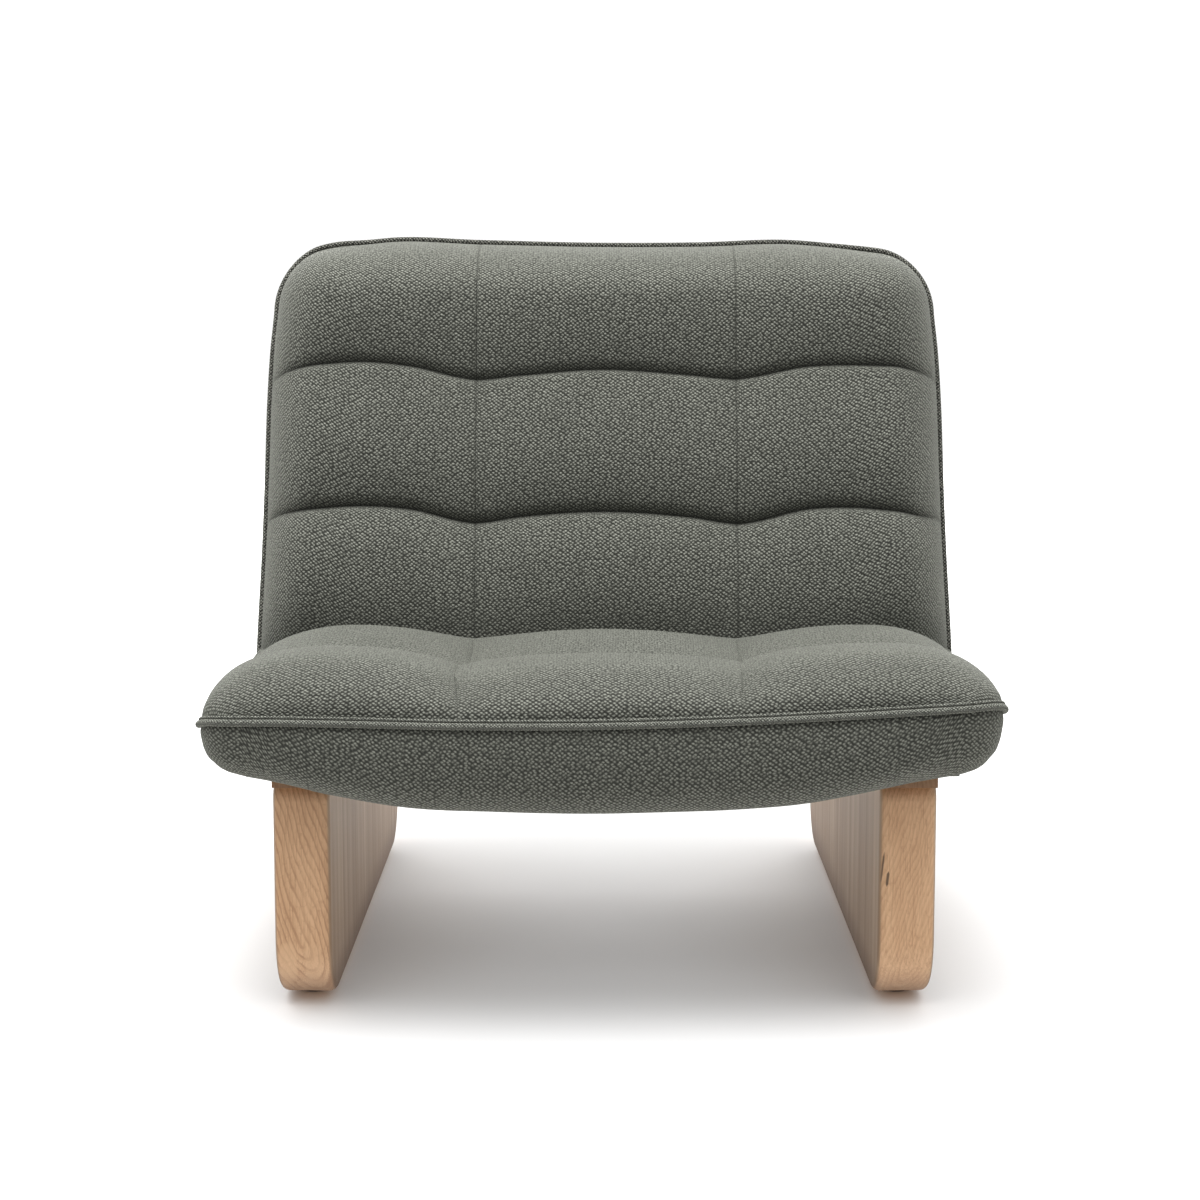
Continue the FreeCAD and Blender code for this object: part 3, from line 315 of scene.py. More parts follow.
@dataclass(frozen=True)
class BackFrame:
    """Where the back's own axes stand: across X, depth square to its face, height along its slope."""

    pivot_y: float = 0.1103
    pivot_z: float = 0.334
    lean: float = math.radians(22)

    def world(self, across: Array, depth: Array, height: Array) -> Array:
        """World points: depth and height are turned by the lean about the pivot.

        Args:
            across: places across.
            depth: depths square to the face, to the rear.
            height: heights along the slope.
        Returns:
            The points, with X, Y and Z along the last axis.
        """
        sine, cosine = math.sin(self.lean), math.cos(self.lean)
        y = self.pivot_y + height * sine + depth * cosine
        z = self.pivot_z + height * cosine - depth * sine
        return np.stack(np.broadcast_arrays(across, y, z), axis=-1)

    def rearward(self) -> Triple:
        """Direction square to the face, to the rear."""
        return 0.0, math.cos(self.lean), -math.sin(self.lean)


BACK = BackFrame()


# Materials
class Nodes:
    """Short way to build one node tree."""

    def __init__(self, tree: bpy.types.NodeTree) -> None:
        """Take the tree to build in."""
        self.tree = tree

    def feed(self, inputs: Sequence[Socket], values: dict[str | int, object]) -> None:
        """Link or set a node's inputs.

        Args:
            inputs: the node's inputs.
            values: a socket or a constant for each, by name or index.
        """
        for key, value in values.items():
            if isinstance(value, Socket):
                self.tree.links.new(value, inputs[key])
            else:
                inputs[key].default_value = value

    def add(self, kind: str, values: dict[str | int, object] | None = None, **settings: object) -> bpy.types.Node:
        """New node.

        Args:
            kind: its type.
            values: a socket or a constant for some of its inputs, by name or index.
            settings: its other properties by name.
        Returns:
            The node.
        """
        item = self.tree.nodes.new(kind)
        for key, value in settings.items():
            setattr(item, key, value)
        self.feed(item.inputs, values or {})
        return item

    def math(self, operation: str, *values: object) -> Socket:
        """Result of a Math node on sockets or constants."""
        return self.add("ShaderNodeMath", dict(enumerate(values)), operation=operation).outputs[0]

    def plus(self, first: object, second: object) -> Socket:
        """Sum of two values."""
        return self.math("ADD", first, second)

    def minus(self, first: object, second: object) -> Socket:
        """First value less the second."""
        return self.math("SUBTRACT", first, second)

    def times(self, first: object, second: object) -> Socket:
        """Product of two values."""
        return self.math("MULTIPLY", first, second)

    def size_of(self, value: object) -> Socket:
        """Value without its sign."""
        return self.math("ABSOLUTE", value)

    def mix(self, share: object, first: object, second: object) -> Socket:
        """Colour between two colours, by a share."""
        item = self.add("ShaderNodeMix", {"Factor": share, 6: first, 7: second}, data_type="RGBA", blend_type="MIX")
        return item.outputs[2]

    def noise(
        self, vector: Socket, scale: float | Triple | Socket, detail: float, rough: float = 0.5, distortion: float = 0.0
    ) -> Socket:
        """Noise from 0 to 1.

        Args:
            vector: place to read it at.
            scale: cycles per metre, or one such value along each axis.
            detail: number of finer layers.
            rough: strength of each finer layer.
            distortion: how far the pattern is bent by itself.
        Returns:
            The noise.
        """
        if isinstance(scale, tuple):
            vector, scale = self.stretched(vector, scale), 1.0
        item = self.add(
            "ShaderNodeTexNoise",
            {"Vector": vector, "Scale": scale, "Detail": detail, "Roughness": rough, "Distortion": distortion},
        )
        return item.outputs["Fac"]

    def ramp(self, value: Socket, low: float, high: float, soft: bool = True) -> Socket:
        """Step from 0 at the low place to 1 at the high one, smooth or straight; low may lie above high."""
        values = {"Value": value, "From Min": low, "From Max": high}
        return self.add("ShaderNodeMapRange", values, interpolation_type=("LINEAR", "SMOOTHSTEP")[soft]).outputs[0]

    def tinted(self, colour: Socket | Colour, value: Socket, tint: Triple, tone: Colour) -> Socket:
        """Colour with a tone over it; a tint is the value where that starts, where it is full, and its share."""
        start, full, share = tint
        return self.mix(self.times(self.ramp(value, start, full), share), colour, tone)

    def stretched(self, vector: Socket, scale: Triple) -> Socket:
        """Vector with each axis scaled."""
        return self.add("ShaderNodeMapping", {"Vector": vector, "Scale": scale}).outputs["Vector"]

    def axes(self, vector: Socket) -> Sequence[Socket]:
        """The three parts of a vector."""
        return self.add("ShaderNodeSeparateXYZ", {0: vector}).outputs

    def place(self) -> Socket:
        """Place on the piece, in metres."""
        return self.add("ShaderNodeTexCoord").outputs["Object"]

    def bump(self, height: Socket, strength: float, distance: float) -> Socket:
        """Normal from a height."""
        values = {"Height": height, "Strength": strength, "Distance": distance}
        return self.add("ShaderNodeBump", values).outputs["Normal"]

    def effect(self, effect: "Effect", values: dict[str | int, object]) -> Sequence[Socket]:
        """Outputs of an effect's node group, placed with its own values."""
        return self.add("ShaderNodeGroup", values, node_tree=effect.group()).outputs


class Effect:
    """Shader node group that several materials use: it reads a place and some values, and puts out others."""

    NAME = ""
    VALUES: Sequence[str] = ()
    RESULTS: Sequence[str] = ()

    def results(self, nodes: Nodes, given: Sequence[Socket]) -> dict[str | int, object]:
        """What the group puts out, by name; every effect has its own."""
        raise NotImplementedError

    def group(self) -> bpy.types.NodeTree:
        """The effect's node group.

        Returns:
            The group, built at the first call.
        """
        known = bpy.data.node_groups.get(self.NAME)
        if known:
            return known
        group = bpy.data.node_groups.new(self.NAME, "ShaderNodeTree")
        group.interface.new_socket("Place", in_out="INPUT", socket_type="NodeSocketVector")
        for side, names in (("INPUT", self.VALUES), ("OUTPUT", self.RESULTS)):
            for name in names:
                group.interface.new_socket(name, in_out=side, socket_type="NodeSocketFloat")
        nodes = Nodes(group)
        nodes.add("NodeGroupOutput", self.results(nodes, nodes.add("NodeGroupInput").outputs))
        return group


class Finish:
    """Surface of a piece, made by what it feeds to one Principled shader."""

    def inputs(self, nodes: Nodes) -> dict[str, object]:
        """Shader inputs by name; every finish has its own."""
        raise NotImplementedError

    def material(self, name: str) -> Material:
        """Node material of this finish.

        Args:
            name: the material's name.
        Returns:
            The material.
        """
        material = bpy.data.materials.new(name)
        material.use_nodes = True
        material.node_tree.nodes.clear()
        nodes = Nodes(material.node_tree)
        shader = nodes.add("ShaderNodeBsdfPrincipled", self.inputs(nodes))
        nodes.add("ShaderNodeOutputMaterial", {"Surface": shader.outputs[0]})
        return material


def rgb(*display: int) -> Colour:
    """Linear colour from display values of 0 to 255 for red, green and blue, by the sRGB curve."""
    share = np.array(display) / 255
    return *np.where(share <= 0.04045, share / 12.92, ((share + 0.055) / 1.055) ** 2.4).tolist(), 1.0


@dataclass(frozen=True)
class Weave(Effect):
    """Coarse heathered weave; U and V count its nubs, and Random and Fibres are strengths."""

    NAME = "weave"
    VALUES = ("U", "V", "Random", "Fibres")
    RESULTS = ("Light", "Height")

    drift: Pair = (95.0, 0.6)
    nub: Pair = (0.38, 0.95)
    nub_light: float = 0.76
    nub_spread: float = 0.3
    nub_height: float = 0.35
    fibre_scale: Triple = (900.0, 2400.0, 1.0)
    fibre_height: float = 0.45
    heather_scale: float = 900.0
    slub: Pair = (22.0, 0.12)
    ridge: float = 0.14

    def results(self, nodes: Nodes, given: Sequence[Socket]) -> dict[str | int, object]:
        """Staggered nubs: a cell pattern on a lattice turned by 45 degrees, with ridges, fibres and slubs.

        Args:
            nodes: builder of the group's tree.
            given: the group's inputs.
        Returns:
            Light, how light the yarn is at a place, and Height, how far it stands out of the ground.
        """
        place = given["Place"]
        drift_scale, drift = self.drift
        u = nodes.plus(given["U"], nodes.times(nodes.noise(place, drift_scale, detail=2.0), drift))
        v = given["V"]
        both = nodes.plus(u, v)
        lattice = nodes.add("ShaderNodeCombineXYZ", {0: both, 1: nodes.minus(u, v)}).outputs[0]
        values = {"Vector": lattice, "Scale": 1.0, "Randomness": given["Random"]}
        cells = nodes.add("ShaderNodeTexVoronoi", values, voronoi_dimensions="2D").outputs
        nub = nodes.ramp(nodes.minus(1.0, cells["Distance"]), *self.nub)
        lift, tone, _ = nodes.add("ShaderNodeSeparateColor", {0: cells["Color"]}).outputs
        fibre = nodes.noise(place, self.fibre_scale, detail=3.0, rough=0.7)
        heather = nodes.noise(place, self.heather_scale, detail=3.0, rough=0.75)
        slub_scale, slub_light = self.slub
        slub = nodes.noise(place, slub_scale, detail=3.0, rough=0.6)
        height = nodes.plus(nub, nodes.times(fibre, self.fibre_height))
        height = nodes.plus(height, nodes.times(lift, self.nub_height))
        light = nodes.times(nub, nodes.plus(self.nub_light, nodes.times(tone, self.nub_spread)))
        light = nodes.plus(light, nodes.times(nodes.math("COSINE", nodes.times(both, 2 * math.pi)), self.ridge))
        light = nodes.plus(light, nodes.times(nodes.minus(heather, 0.5), given["Fibres"]))
        light = nodes.plus(light, nodes.times(nodes.minus(slub, 0.5), slub_light))
        return {"Light": light, "Height": height}


@dataclass(frozen=True)
class ClothFinish(Finish):
    """Heathered cloth: light yarn over a dark ground, darker in its sewn lines and under painted shade."""

    pitch: float = 0.0059
    row_pitch: float = 0.00236
    light: Colour = rgb(152, 154, 144)
    middle: Colour = rgb(90, 91, 84)
    dark: Colour = rgb(36, 37, 33)
    low_tones: Pair = (0.0, 0.55)
    high_tones: Pair = (0.5, 1.1)
    stitch_and_shade: float = 0.75
    bump: float = 0.0008
    bump_strength: float = 0.9
    random: float = 0.36
    fibres: float = 1.3
    rough: float = 0.92
    gloss: float = 0.18
    sheen: float = 0.32
    sheen_rough: float = 0.55
    sheen_tint: Colour = rgb(206, 208, 196)

    def inputs(self, nodes: Nodes) -> dict[str, object]:
        """Weave from the piece's cloth coordinates, with a height for its nubs.

        Args:
            nodes: builder of the material's tree.
        Returns:
            The shader's inputs by name.
        """
        cloth = nodes.add("ShaderNodeUVMap", uv_map="cloth").outputs[0]
        across, along, _ = nodes.axes(cloth)
        values = {
            "Place": cloth, "U": nodes.times(across, 1 / self.pitch), "V": nodes.times(along, 0.5 / self.row_pitch),
            "Random": self.random, "Fibres": self.fibres,
        }
        weave = nodes.effect(Weave(), values)
        light = weave["Light"]
        colour = nodes.mix(nodes.ramp(light, *self.low_tones, soft=False), self.dark, self.middle)
        colour = nodes.mix(nodes.ramp(light, *self.high_tones, soft=False), colour, self.light)
        # The attribute carries stitch marks and painted shade; both darken the cloth towards its dark ground.
        stitch_and_shade = nodes.add("ShaderNodeAttribute", attribute_name="stitch_and_shade").outputs["Fac"]
        colour = nodes.mix(nodes.times(stitch_and_shade, self.stitch_and_shade), colour, self.dark)
        return {
            "Base Color": colour, "Roughness": self.rough, "Specular IOR Level": self.gloss,
            "Sheen Weight": self.sheen, "Sheen Roughness": self.sheen_rough, "Sheen Tint": self.sheen_tint,
            "Normal": nodes.bump(weave["Height"], self.bump_strength, self.bump),
        }


@dataclass(frozen=True)
class Patch:
    """Paler place on the oak's front, as a rounded rectangle that the grain bends."""

    x: float
    z: float
    wide: float
    tall: float
    strength: float
    power: float = 3.0
    bend: float = 0.9
    edge: Pair = (1.25, 0.45)

    def mask(self, nodes: Nodes, x: Socket, z: Socket, warp: Socket) -> Socket:
        """Cubes of the shares of both half sizes, added up and turned into a soft edge.

        Args:
            nodes: builder of the material's tree.
            x: place across.
            z: height.
            warp: bend of the grain.
        Returns:
            1 inside to 0 outside.
        """
        cubes = [
            nodes.math("POWER", nodes.size_of(nodes.math("DIVIDE", nodes.minus(value, middle), half)), self.power)
            for value, middle, half in ((x, self.x, self.wide), (z, self.z, self.tall))
        ]
        return nodes.ramp(nodes.plus(nodes.plus(*cubes), nodes.times(warp, self.bend)), *self.edge)


@dataclass(frozen=True)
class Split:
    """Short drying split in the oak's front, from its low end to its top end, tapered at both."""

    low_x: float
    low_z: float
    top_x: float
    top_z: float
    wide: float
    taper: Pair = (1.0, 0.6)
    edge: Pair = (0.0006, -0.0004)

    def mask(self, nodes: Nodes, x: Socket, z: Socket) -> Socket:
        """Gap to the split's line against the room it has there.

        Args:
            nodes: builder of the material's tree.
            x: place across.
            z: height.
        Returns:
            1 inside to 0 outside.
        """
        along = nodes.math("DIVIDE", nodes.minus(z, self.low_z), self.top_z - self.low_z)
        line = nodes.plus(self.low_x, nodes.times(along, self.top_x - self.low_x))
        gap = nodes.size_of(nodes.minus(x, line))
        ends = nodes.size_of(nodes.minus(nodes.times(along, 2.0), 1.0))
        room = nodes.times(nodes.ramp(ends, *self.taper), self.wide)
        inside = nodes.ramp(nodes.minus(gap, room), *self.edge)
        return nodes.times(inside, nodes.math("LESS_THAN", ends, 1.0))


@dataclass(frozen=True)
class OakGrain(Effect):
    """Grain of oak; Heart X and Heart Z place its leaning heart, and Turns sets how close its rings are."""

    NAME = "oak_grain"
    VALUES = ("Heart X", "Heart Z", "Lean", "Turns")
    RESULTS = ("Warp", "Rings", "Veins", "Fine", "Ripple", "Broad", "Strips", "Lines")

    squeeze: float = 0.45
    vein_waver: float = 2.6
    warp: float = 0.020
    warp_scale: Triple = (34.0, 20.0, 9.0)
    fine_scale: Triple = (950.0, 700.0, 26.0)
    ripple_scale: Triple = (260.0, 60.0, 150.0)
    ripple_bend: float = 0.8
    broad_scale: Triple = (60.0, 60.0, 7.0)
    strip_scale: Triple = (30.0, 55.0, 0.9)
    line_scale: Triple = (150.0, 170.0, 1.6)

    def results(self, nodes: Nodes, given: Sequence[Socket]) -> dict[str | int, object]:
        """Rings by the distance from the heart, straight above it and close below it, and stretched noises.

        Args:
            nodes: builder of the group's tree.
            given: the group's inputs.
        Returns:
            Bend of the grain, waves of the rings and of the veins along them, pores, ripple across the grain,
            broad clouds, and the strips and lines of the faces.
        """
        place = given["Place"]
        x, _, z = nodes.axes(place)
        warp = nodes.minus(nodes.noise(place, self.warp_scale, detail=2.0), 0.5)
        fine = nodes.noise(place, self.fine_scale, detail=3.0, rough=0.65)
        height = nodes.minus(z, given["Heart Z"])
        side = nodes.plus(nodes.minus(x, given["Heart X"]), nodes.times(height, given["Lean"]))
        side = nodes.plus(side, nodes.times(warp, self.warp))
        low = nodes.times(nodes.math("MINIMUM", height, 0.0), self.squeeze)
        squares = [nodes.math("POWER", nodes.size_of(value), 2.0) for value in (side, low)]
        angle = nodes.times(nodes.math("SQRT", nodes.plus(*squares)), given["Turns"])
        return {
            "Warp": warp, "Rings": nodes.ramp(nodes.math("SINE", angle), -1.0, 1.0), "Fine": fine,
            "Veins": nodes.math("SINE", nodes.plus(angle, nodes.times(fine, self.vein_waver))),
            "Ripple": nodes.noise(place, self.ripple_scale, detail=2.0, distortion=self.ripple_bend),
            "Broad": nodes.noise(place, self.broad_scale, detail=2.0),
            "Strips": nodes.noise(place, self.strip_scale, detail=3.0, rough=0.6),
            "Lines": nodes.noise(place, self.line_scale, detail=3.0, rough=0.7),
        }


@dataclass(frozen=True)
class TimberFinish(Finish):
    """Oiled oak: nested growth rings on the solid front lipping, straight upright grain on the greyer faces.

    The lipping's middle line lies at centre from the chair's middle and draws in by toe over the depth from
    toe_y; lipping is the distance from it over which the faces take over. A tint is the value where a tone
    starts, where it is full, and its share there.
    """

    light: Colour = rgb(216, 177, 139)
    middle: Colour = rgb(197, 155, 118)
    dark: Colour = rgb(156, 114, 82)
    face_light: Colour = rgb(186, 160, 134)
    face_dark: Colour = rgb(144, 117, 92)
    # Painted light and painted shade for the faces: paler near the seat, deeper near the floor.
    face_painted_light: Colour = rgb(204, 184, 163)
    face_painted_shade: Colour = rgb(112, 90, 70)
    split_tone: Colour = rgb(52, 40, 32)
    # Painted shadow tone that the oak darkens to just above the floor.
    floor_shadow_tone: Colour = rgb(92, 66, 48)
    centre: float = 0.319
    toe: float = 0.0384
    toe_y: float = -0.3453
    lipping: Pair = (0.0265, 0.0292)
    heart_x: float = -0.320
    heart_z: float = 0.072
    lean: float = 0.30
    ring: float = 0.0062
    ring_share: float = 0.42
    vein: float = 0.25
    vein_range: Pair = (0.35, 1.0)
    vein_patchy: Pair = (0.25, 0.6)
    broad_tint: Triple = (0.35, 0.7, 0.4)
    fine_tint: Triple = (0.45, 0.72, 0.5)
    ripple_tint: Triple = (0.5, 0.75, 0.28)
    strip_tint: Triple = (0.25, 0.75, 1.0)
    line_tint: Triple = (0.5, 0.8, 0.4)
    pore_tint: Triple = (0.5, 0.75, 0.2)
    painted_light_tint: Triple = (0.12, 0.26, 0.45)
    painted_shade_tint: Triple = (0.15, 0.0, 0.5)
    floor_shadow_tint: Triple = (0.052, 0.006, 0.75)
    split_share: float = 0.8
    rough: float = 0.48
    rough_spread: float = 0.16
    gloss: float = 0.32
    ring_relief: float = 0.15
    pores: Pair = (0.5, 0.75)
    bump_strength: float = 0.35
    bump: float = 0.0003
    patches: tuple[Patch, ...] = ()
    splits: tuple[Split, ...] = ()

    def front(self, nodes: Nodes, grain: Sequence[Socket]) -> Socket:
        """Colour of the lipping: rings, dark veins along them in places, pores and cross ripple.

        Args:
            nodes: builder of the material's tree.
            grain: outputs of the grain.
        Returns:
            The colour.
        """
        patchy = nodes.times(nodes.ramp(grain["Broad"], *self.vein_patchy), self.vein)
        veins = nodes.times(nodes.ramp(grain["Veins"], *self.vein_range), patchy)
        colour = nodes.mix(nodes.times(grain["Rings"], self.ring_share), self.light, self.middle)
        colour = nodes.tinted(colour, grain["Broad"], self.broad_tint, self.middle)
        colour = nodes.mix(veins, colour, self.dark)
        colour = nodes.tinted(colour, grain["Fine"], self.fine_tint, self.dark)
        return nodes.tinted(colour, grain["Ripple"], self.ripple_tint, self.dark)

    def face(self, nodes: Nodes, grain: Sequence[Socket], z: Socket) -> Socket:
        """Colour of the faces: upright strips and lines, with painted light near the seat and painted shade near the
        floor.

        Args:
            nodes: builder of the material's tree.
            grain: outputs of the grain.
            z: height.
        Returns:
            The colour.
        """
        colour = nodes.tinted(self.face_light, grain["Strips"], self.strip_tint, self.face_dark)
        colour = nodes.tinted(colour, grain["Lines"], self.line_tint, self.face_dark)
        colour = nodes.tinted(colour, grain["Fine"], self.pore_tint, self.dark)
        # Painted light on the faces' upper part, then painted shade near the floor.
        colour = nodes.tinted(colour, z, self.painted_light_tint, self.face_painted_light)
        return nodes.tinted(colour, z, self.painted_shade_tint, self.face_painted_shade)

    def inputs(self, nodes: Nodes) -> dict[str, object]:
        """Oak from the piece's own place, with the lipping between its two lines and the faces outside them, and a
        painted shadow just above the floor.

        Args:
            nodes: builder of the material's tree.
        Returns:
            The shader's inputs by name.
        """
        place = nodes.place()
        x, y, z = nodes.axes(place)
        grain = nodes.effect(OakGrain(), {
            "Place": place, "Heart X": self.heart_x, "Heart Z": self.heart_z, "Lean": self.lean,
            "Turns": 2 * math.pi / self.ring,
        })
        front = self.front(nodes, grain)
        for patch in self.patches:
            mask = nodes.times(patch.mask(nodes, x, z, grain["Warp"]), patch.strength)
            front = nodes.mix(mask, front, self.light)
        for split in self.splits:
            front = nodes.mix(nodes.times(split.mask(nodes, x, z), self.split_share), front, self.split_tone)
        middle = nodes.minus(self.centre, nodes.times(nodes.minus(y, self.toe_y), self.toe))
        off = nodes.size_of(nodes.minus(nodes.size_of(x), middle))
        colour = nodes.mix(nodes.ramp(off, *self.lipping), front, self.face(nodes, grain, z))
        pores = nodes.ramp(grain["Fine"], *self.pores)
        relief = nodes.minus(nodes.times(grain["Rings"], self.ring_relief), pores)
        return {
            # Painted shadow: all the oak darkens over its lowest 5 cm towards the floor.
            "Base Color": nodes.tinted(colour, z, self.floor_shadow_tint, self.floor_shadow_tone),
            "Roughness": nodes.plus(self.rough, nodes.times(grain["Fine"], self.rough_spread)),
            "Specular IOR Level": self.gloss, "Normal": nodes.bump(relief, self.bump_strength, self.bump),
        }


class Speckle(Effect):
    """Fine grain or fibre and broader clouds, each with its own scale."""

    NAME = "speckle"
    VALUES = ("Fine Scale", "Broad Scale")
    RESULTS = ("Fine", "Broad")

    def results(self, nodes: Nodes, given: Sequence[Socket]) -> dict[str | int, object]:
        """Two noises of the place."""
        fine = nodes.noise(given["Place"], given["Fine Scale"], detail=4.0, rough=0.65)
        return {"Fine": fine, "Broad": nodes.noise(given["Place"], given["Broad Scale"], detail=2.0)}


@dataclass(frozen=True)
class SpeckledFinish(Finish):
    """Plain body with fine grain or fibre in colour and height, for parts that stay mostly out of sight."""

    base: Colour
    other: Colour
    scale: float
    rough: float
    bump: float
    metal: float = 0.0
    stretch: Triple = (1.0, 1.0, 1.0)
    broader: float = 14.0
    fine_tint: Triple = (0.3, 0.7, 1.0)
    broad_tint: Triple = (0.4, 0.7, 0.3)
    rough_spread: float = 0.15
    bump_strength: float = 0.5

    def inputs(self, nodes: Nodes) -> dict[str, object]:
        """Body from two noises of the piece's own place.

        Args:
            nodes: builder of the material's tree.
        Returns:
            The shader's inputs by name.
        """
        place = nodes.stretched(nodes.place(), self.stretch)
        values = {"Place": place, "Fine Scale": self.scale, "Broad Scale": self.scale / self.broader}
        speckle = nodes.effect(Speckle(), values)
        fine = speckle["Fine"]
        colour = nodes.tinted(self.base, fine, self.fine_tint, self.other)
        return {
            "Base Color": nodes.tinted(colour, speckle["Broad"], self.broad_tint, self.other),
            "Metallic": self.metal,
            "Roughness": nodes.plus(self.rough, nodes.times(fine, self.rough_spread)),
            "Normal": nodes.bump(fine, self.bump_strength, self.bump),
        }


# Seat
def drawn_out(points: Array) -> Array:
    """Points with the seat's left front end drawn out a little; the sewing isn't quite even.

    Args:
        points: places in the world.
    Returns:
        The places, moved to the left by less the further they lie inward and to the rear.
    """
    start, run, most, clear, fade = 0.15, 0.26, 0.0062, 0.08, 0.30
    moved = points.copy()
    moved[..., 0] -= most * eased(-points[..., 0], start, run) * (1 - reached(points[..., 1] - FRONT_Y, clear, fade))
    return moved


@dataclass(frozen=True)
class SeatPad:
    """Quilted seat of two rows by three columns.

    Depths run from the seat's front. Swells are heights over the base: in a seam, and what the full cell adds.
    """

    cloth: Material
    base: float = 0.330
    front: float = 0.009
    crest_at: float = 0.098
    valley_at: float = 0.262
    rear_crest_at: float = 0.398
    meeting: float = 0.516
    rear: float = 0.556
    columns: Counts = (40, 44, 40)
    rows: Counts = (40, 30, 34, 26, 8)
    half_width: float = 0.411
    corner: float = 0.045
    edge_places: Floats = (-0.416, -0.353, -0.283, -0.144, -0.005, 0.114, 0.254, 0.351, 0.409)
    edge_heights: Floats = (0.333, 0.334, 0.333, 0.330, 0.3305, 0.334, 0.341, 0.347, 0.351)
    edge_settle: float = 0.2
    corner_dip: Pair = (0.010, 0.06)
    side_fall: Pair = (0.066, 0.03)
    seam_places: Floats = (0.0, 0.130, 0.262, 0.400)
    seam_left: Floats = (0.150, 0.158, 0.154, 0.152)
    seam_right: Floats = (0.141, 0.144, 0.150, 0.153)
    seam_limit: float = 0.42
    puff_reach: float = 0.52
    puff_power: float = 0.72
    crest_middle: float = 0.0465
    crest_outer: float = 0.0560
    crest_right: Pair = (0.003, 0.15)
    seam_height: float = 0.0290
    seam_height_right: float = 0.0055
    valley_swell: Pair = (-0.004, 0.006)
    rear_seam: float = -0.012
    rear_middle: float = 0.0270
    rear_outer: float = 0.0335
    meeting_swell: Pair = (-0.0115, 0.0045)
    row_power: float = 0.62
    rear_row_power: float = 0.7
    tail_slope: float = 0.25
    side_reach: float = 0.125
    right_reach: float = 0.107
    side_power: float = 0.37
    rear_power: float = 0.62
    power_change: Pair = (0.16, 0.2)
    front_reach: float = 0.086
    front_power: float = 0.47
    thread: float = 0.0009
    crease: float = 0.0018
    sewn: float = 0.4
    groove: float = 0.0014
    groove_start: float = 3.0
    # Painted shade added to the stitch marks: darker cloth in the rear valley, on the seat's front face and beside the
    # front seams.
    row_shades: tuple[Triple, ...] = ((0.330, 0.035, 0.10), (0.045, 0.025, 0.20))
    seam_shade: Pair = (0.022, 0.16)
    under_half: float = 0.352
    under_front: float = -0.380
    under_top: float = 0.3175
    under_step: float = 0.004
    thinnest: float = 0.0005
    fill: float = 0.8

    def outline(self, depth: Array) -> Array:
        """Half width at each depth, drawn in over the rounded front corner."""
        inside = np.clip(self.corner - (depth - self.front), 0, self.corner)
        return self.half_width - self.corner + np.sqrt(self.corner ** 2 - inside ** 2)

    def sewn_edge(self, across: Array, depth: Array) -> Array:
        """Height of the sewn edge.

        In front it climbs a little to the right. It dips round the front corner and falls towards the rear
        along the sides.

        Args:
            across: places across.
            depth: depths from the seat's front.
        Returns:
            The heights.
        """
        front = hermite(self.edge_places, self.edge_heights, across)
        dip, dip_run = self.corner_dip
        slope, start = self.side_fall
        settled = front + (self.base - front) * eased(depth, 0, self.edge_settle)
        return settled - dip * eased(depth, 0, dip_run) - slope * np.clip(depth - start, 0, None)

    def swell(self, across: Array, depth: Array, row: Array, column: Array, puff: Array) -> Array:
        """Height of the stuffing over the base.

        Each row is an arch between its seams, and each column an arch between its own.

        Args:
            across: places across.
            depth: depth of each row of the grid.
            row: part of the seat's depth that each row of the grid lies in.
            column: the Column of each grid line.
            puff: how full each grid line is.
        Returns:
            The heights.
        """
        middle = column == Column.MIDDLE
        extra, start = self.crest_right
        low = self.seam_height + self.seam_height_right * (across > 0)
        crest = np.where(middle, self.crest_middle, self.crest_outer) + extra * (across > start)
        crest = low + (crest - low) * puff
        valley, meeting = (seam + more * puff for seam, more in (self.valley_swell, self.meeting_swell))
        rear = self.rear_seam + np.where(middle, self.rear_middle, self.rear_outer) * puff
        falling = reached(depth, self.crest_at, self.valley_at - self.crest_at)
        rising = left_over(depth, self.rear_crest_at, self.rear_crest_at - self.valley_at)
        last = reached(depth, self.rear_crest_at, self.meeting - self.rear_crest_at)
        return np.choose(row[:, None], [
            crest,
            valley + (crest - valley) * bowed(falling, self.row_power),
            valley + (rear - valley) * bowed(rising, self.row_power),
            meeting + (rear - meeting) * bowed(last, self.rear_row_power),
            meeting - self.tail_slope * (depth - self.meeting),
        ])

    def surface(self) -> tuple[Array, Array]:
        """Top surface: the stuffing rises from the sewn edge as a rounded quarter oval.

        Returns:
            The points and their stitch marks, with painted shade added.
        """
        depths = (self.front, self.crest_at, self.valley_at, self.rear_crest_at, self.meeting, self.rear)
        depth, row, _ = stations(depths, self.rows)
        depth = depth[:, None]
        wide = self.outline(depth)
        left = np.maximum(-hermite(self.seam_places, self.seam_left, depth), -wide * self.seam_limit)
        right = np.minimum(hermite(self.seam_places, self.seam_right, depth), wide * self.seam_limit)
        across, column, puff = quilted_columns(wide, left, right, self.columns, self.puff_reach, self.puff_power)
        height = self.swell(across, depth, row, column, puff)
        power = self.side_power + (self.rear_power - self.side_power) * reached(depth, *self.power_change)
        reach = np.where(across > 0, self.right_reach, self.side_reach)
        sides = edge_rise(wide - np.abs(across), reach, power)
        rise = sides * edge_rise(depth - self.front, self.front_reach, self.front_power)
        base = self.sewn_edge(across, depth)
        before_crest = depth < self.crest_at
        seam_gap = np.minimum(np.abs(across - left), np.abs(across - right))
        marks = self.sewn * before_crest * bell(seam_gap, self.thread) + bell(depth - self.valley_at, self.crease)
        groove = self.groove * np.clip(marks, 0, 1) * np.clip(rise * self.groove_start, 0, 1)
        top = base + (self.base + height - base) * rise - groove
        # Painted shade in the rear valley, on the front face and beside the front seams.
        shade = sum(share * bell(depth - at, width) for at, width, share in self.row_shades)
        width, share = self.seam_shade
        shade = shade + share * bell(seam_gap, width) * before_crest
        points = np.stack(np.broadcast_arrays(across, FRONT_Y + depth, top), axis=-1)
        return drawn_out(points), np.clip(marks + shade, 0, 1)

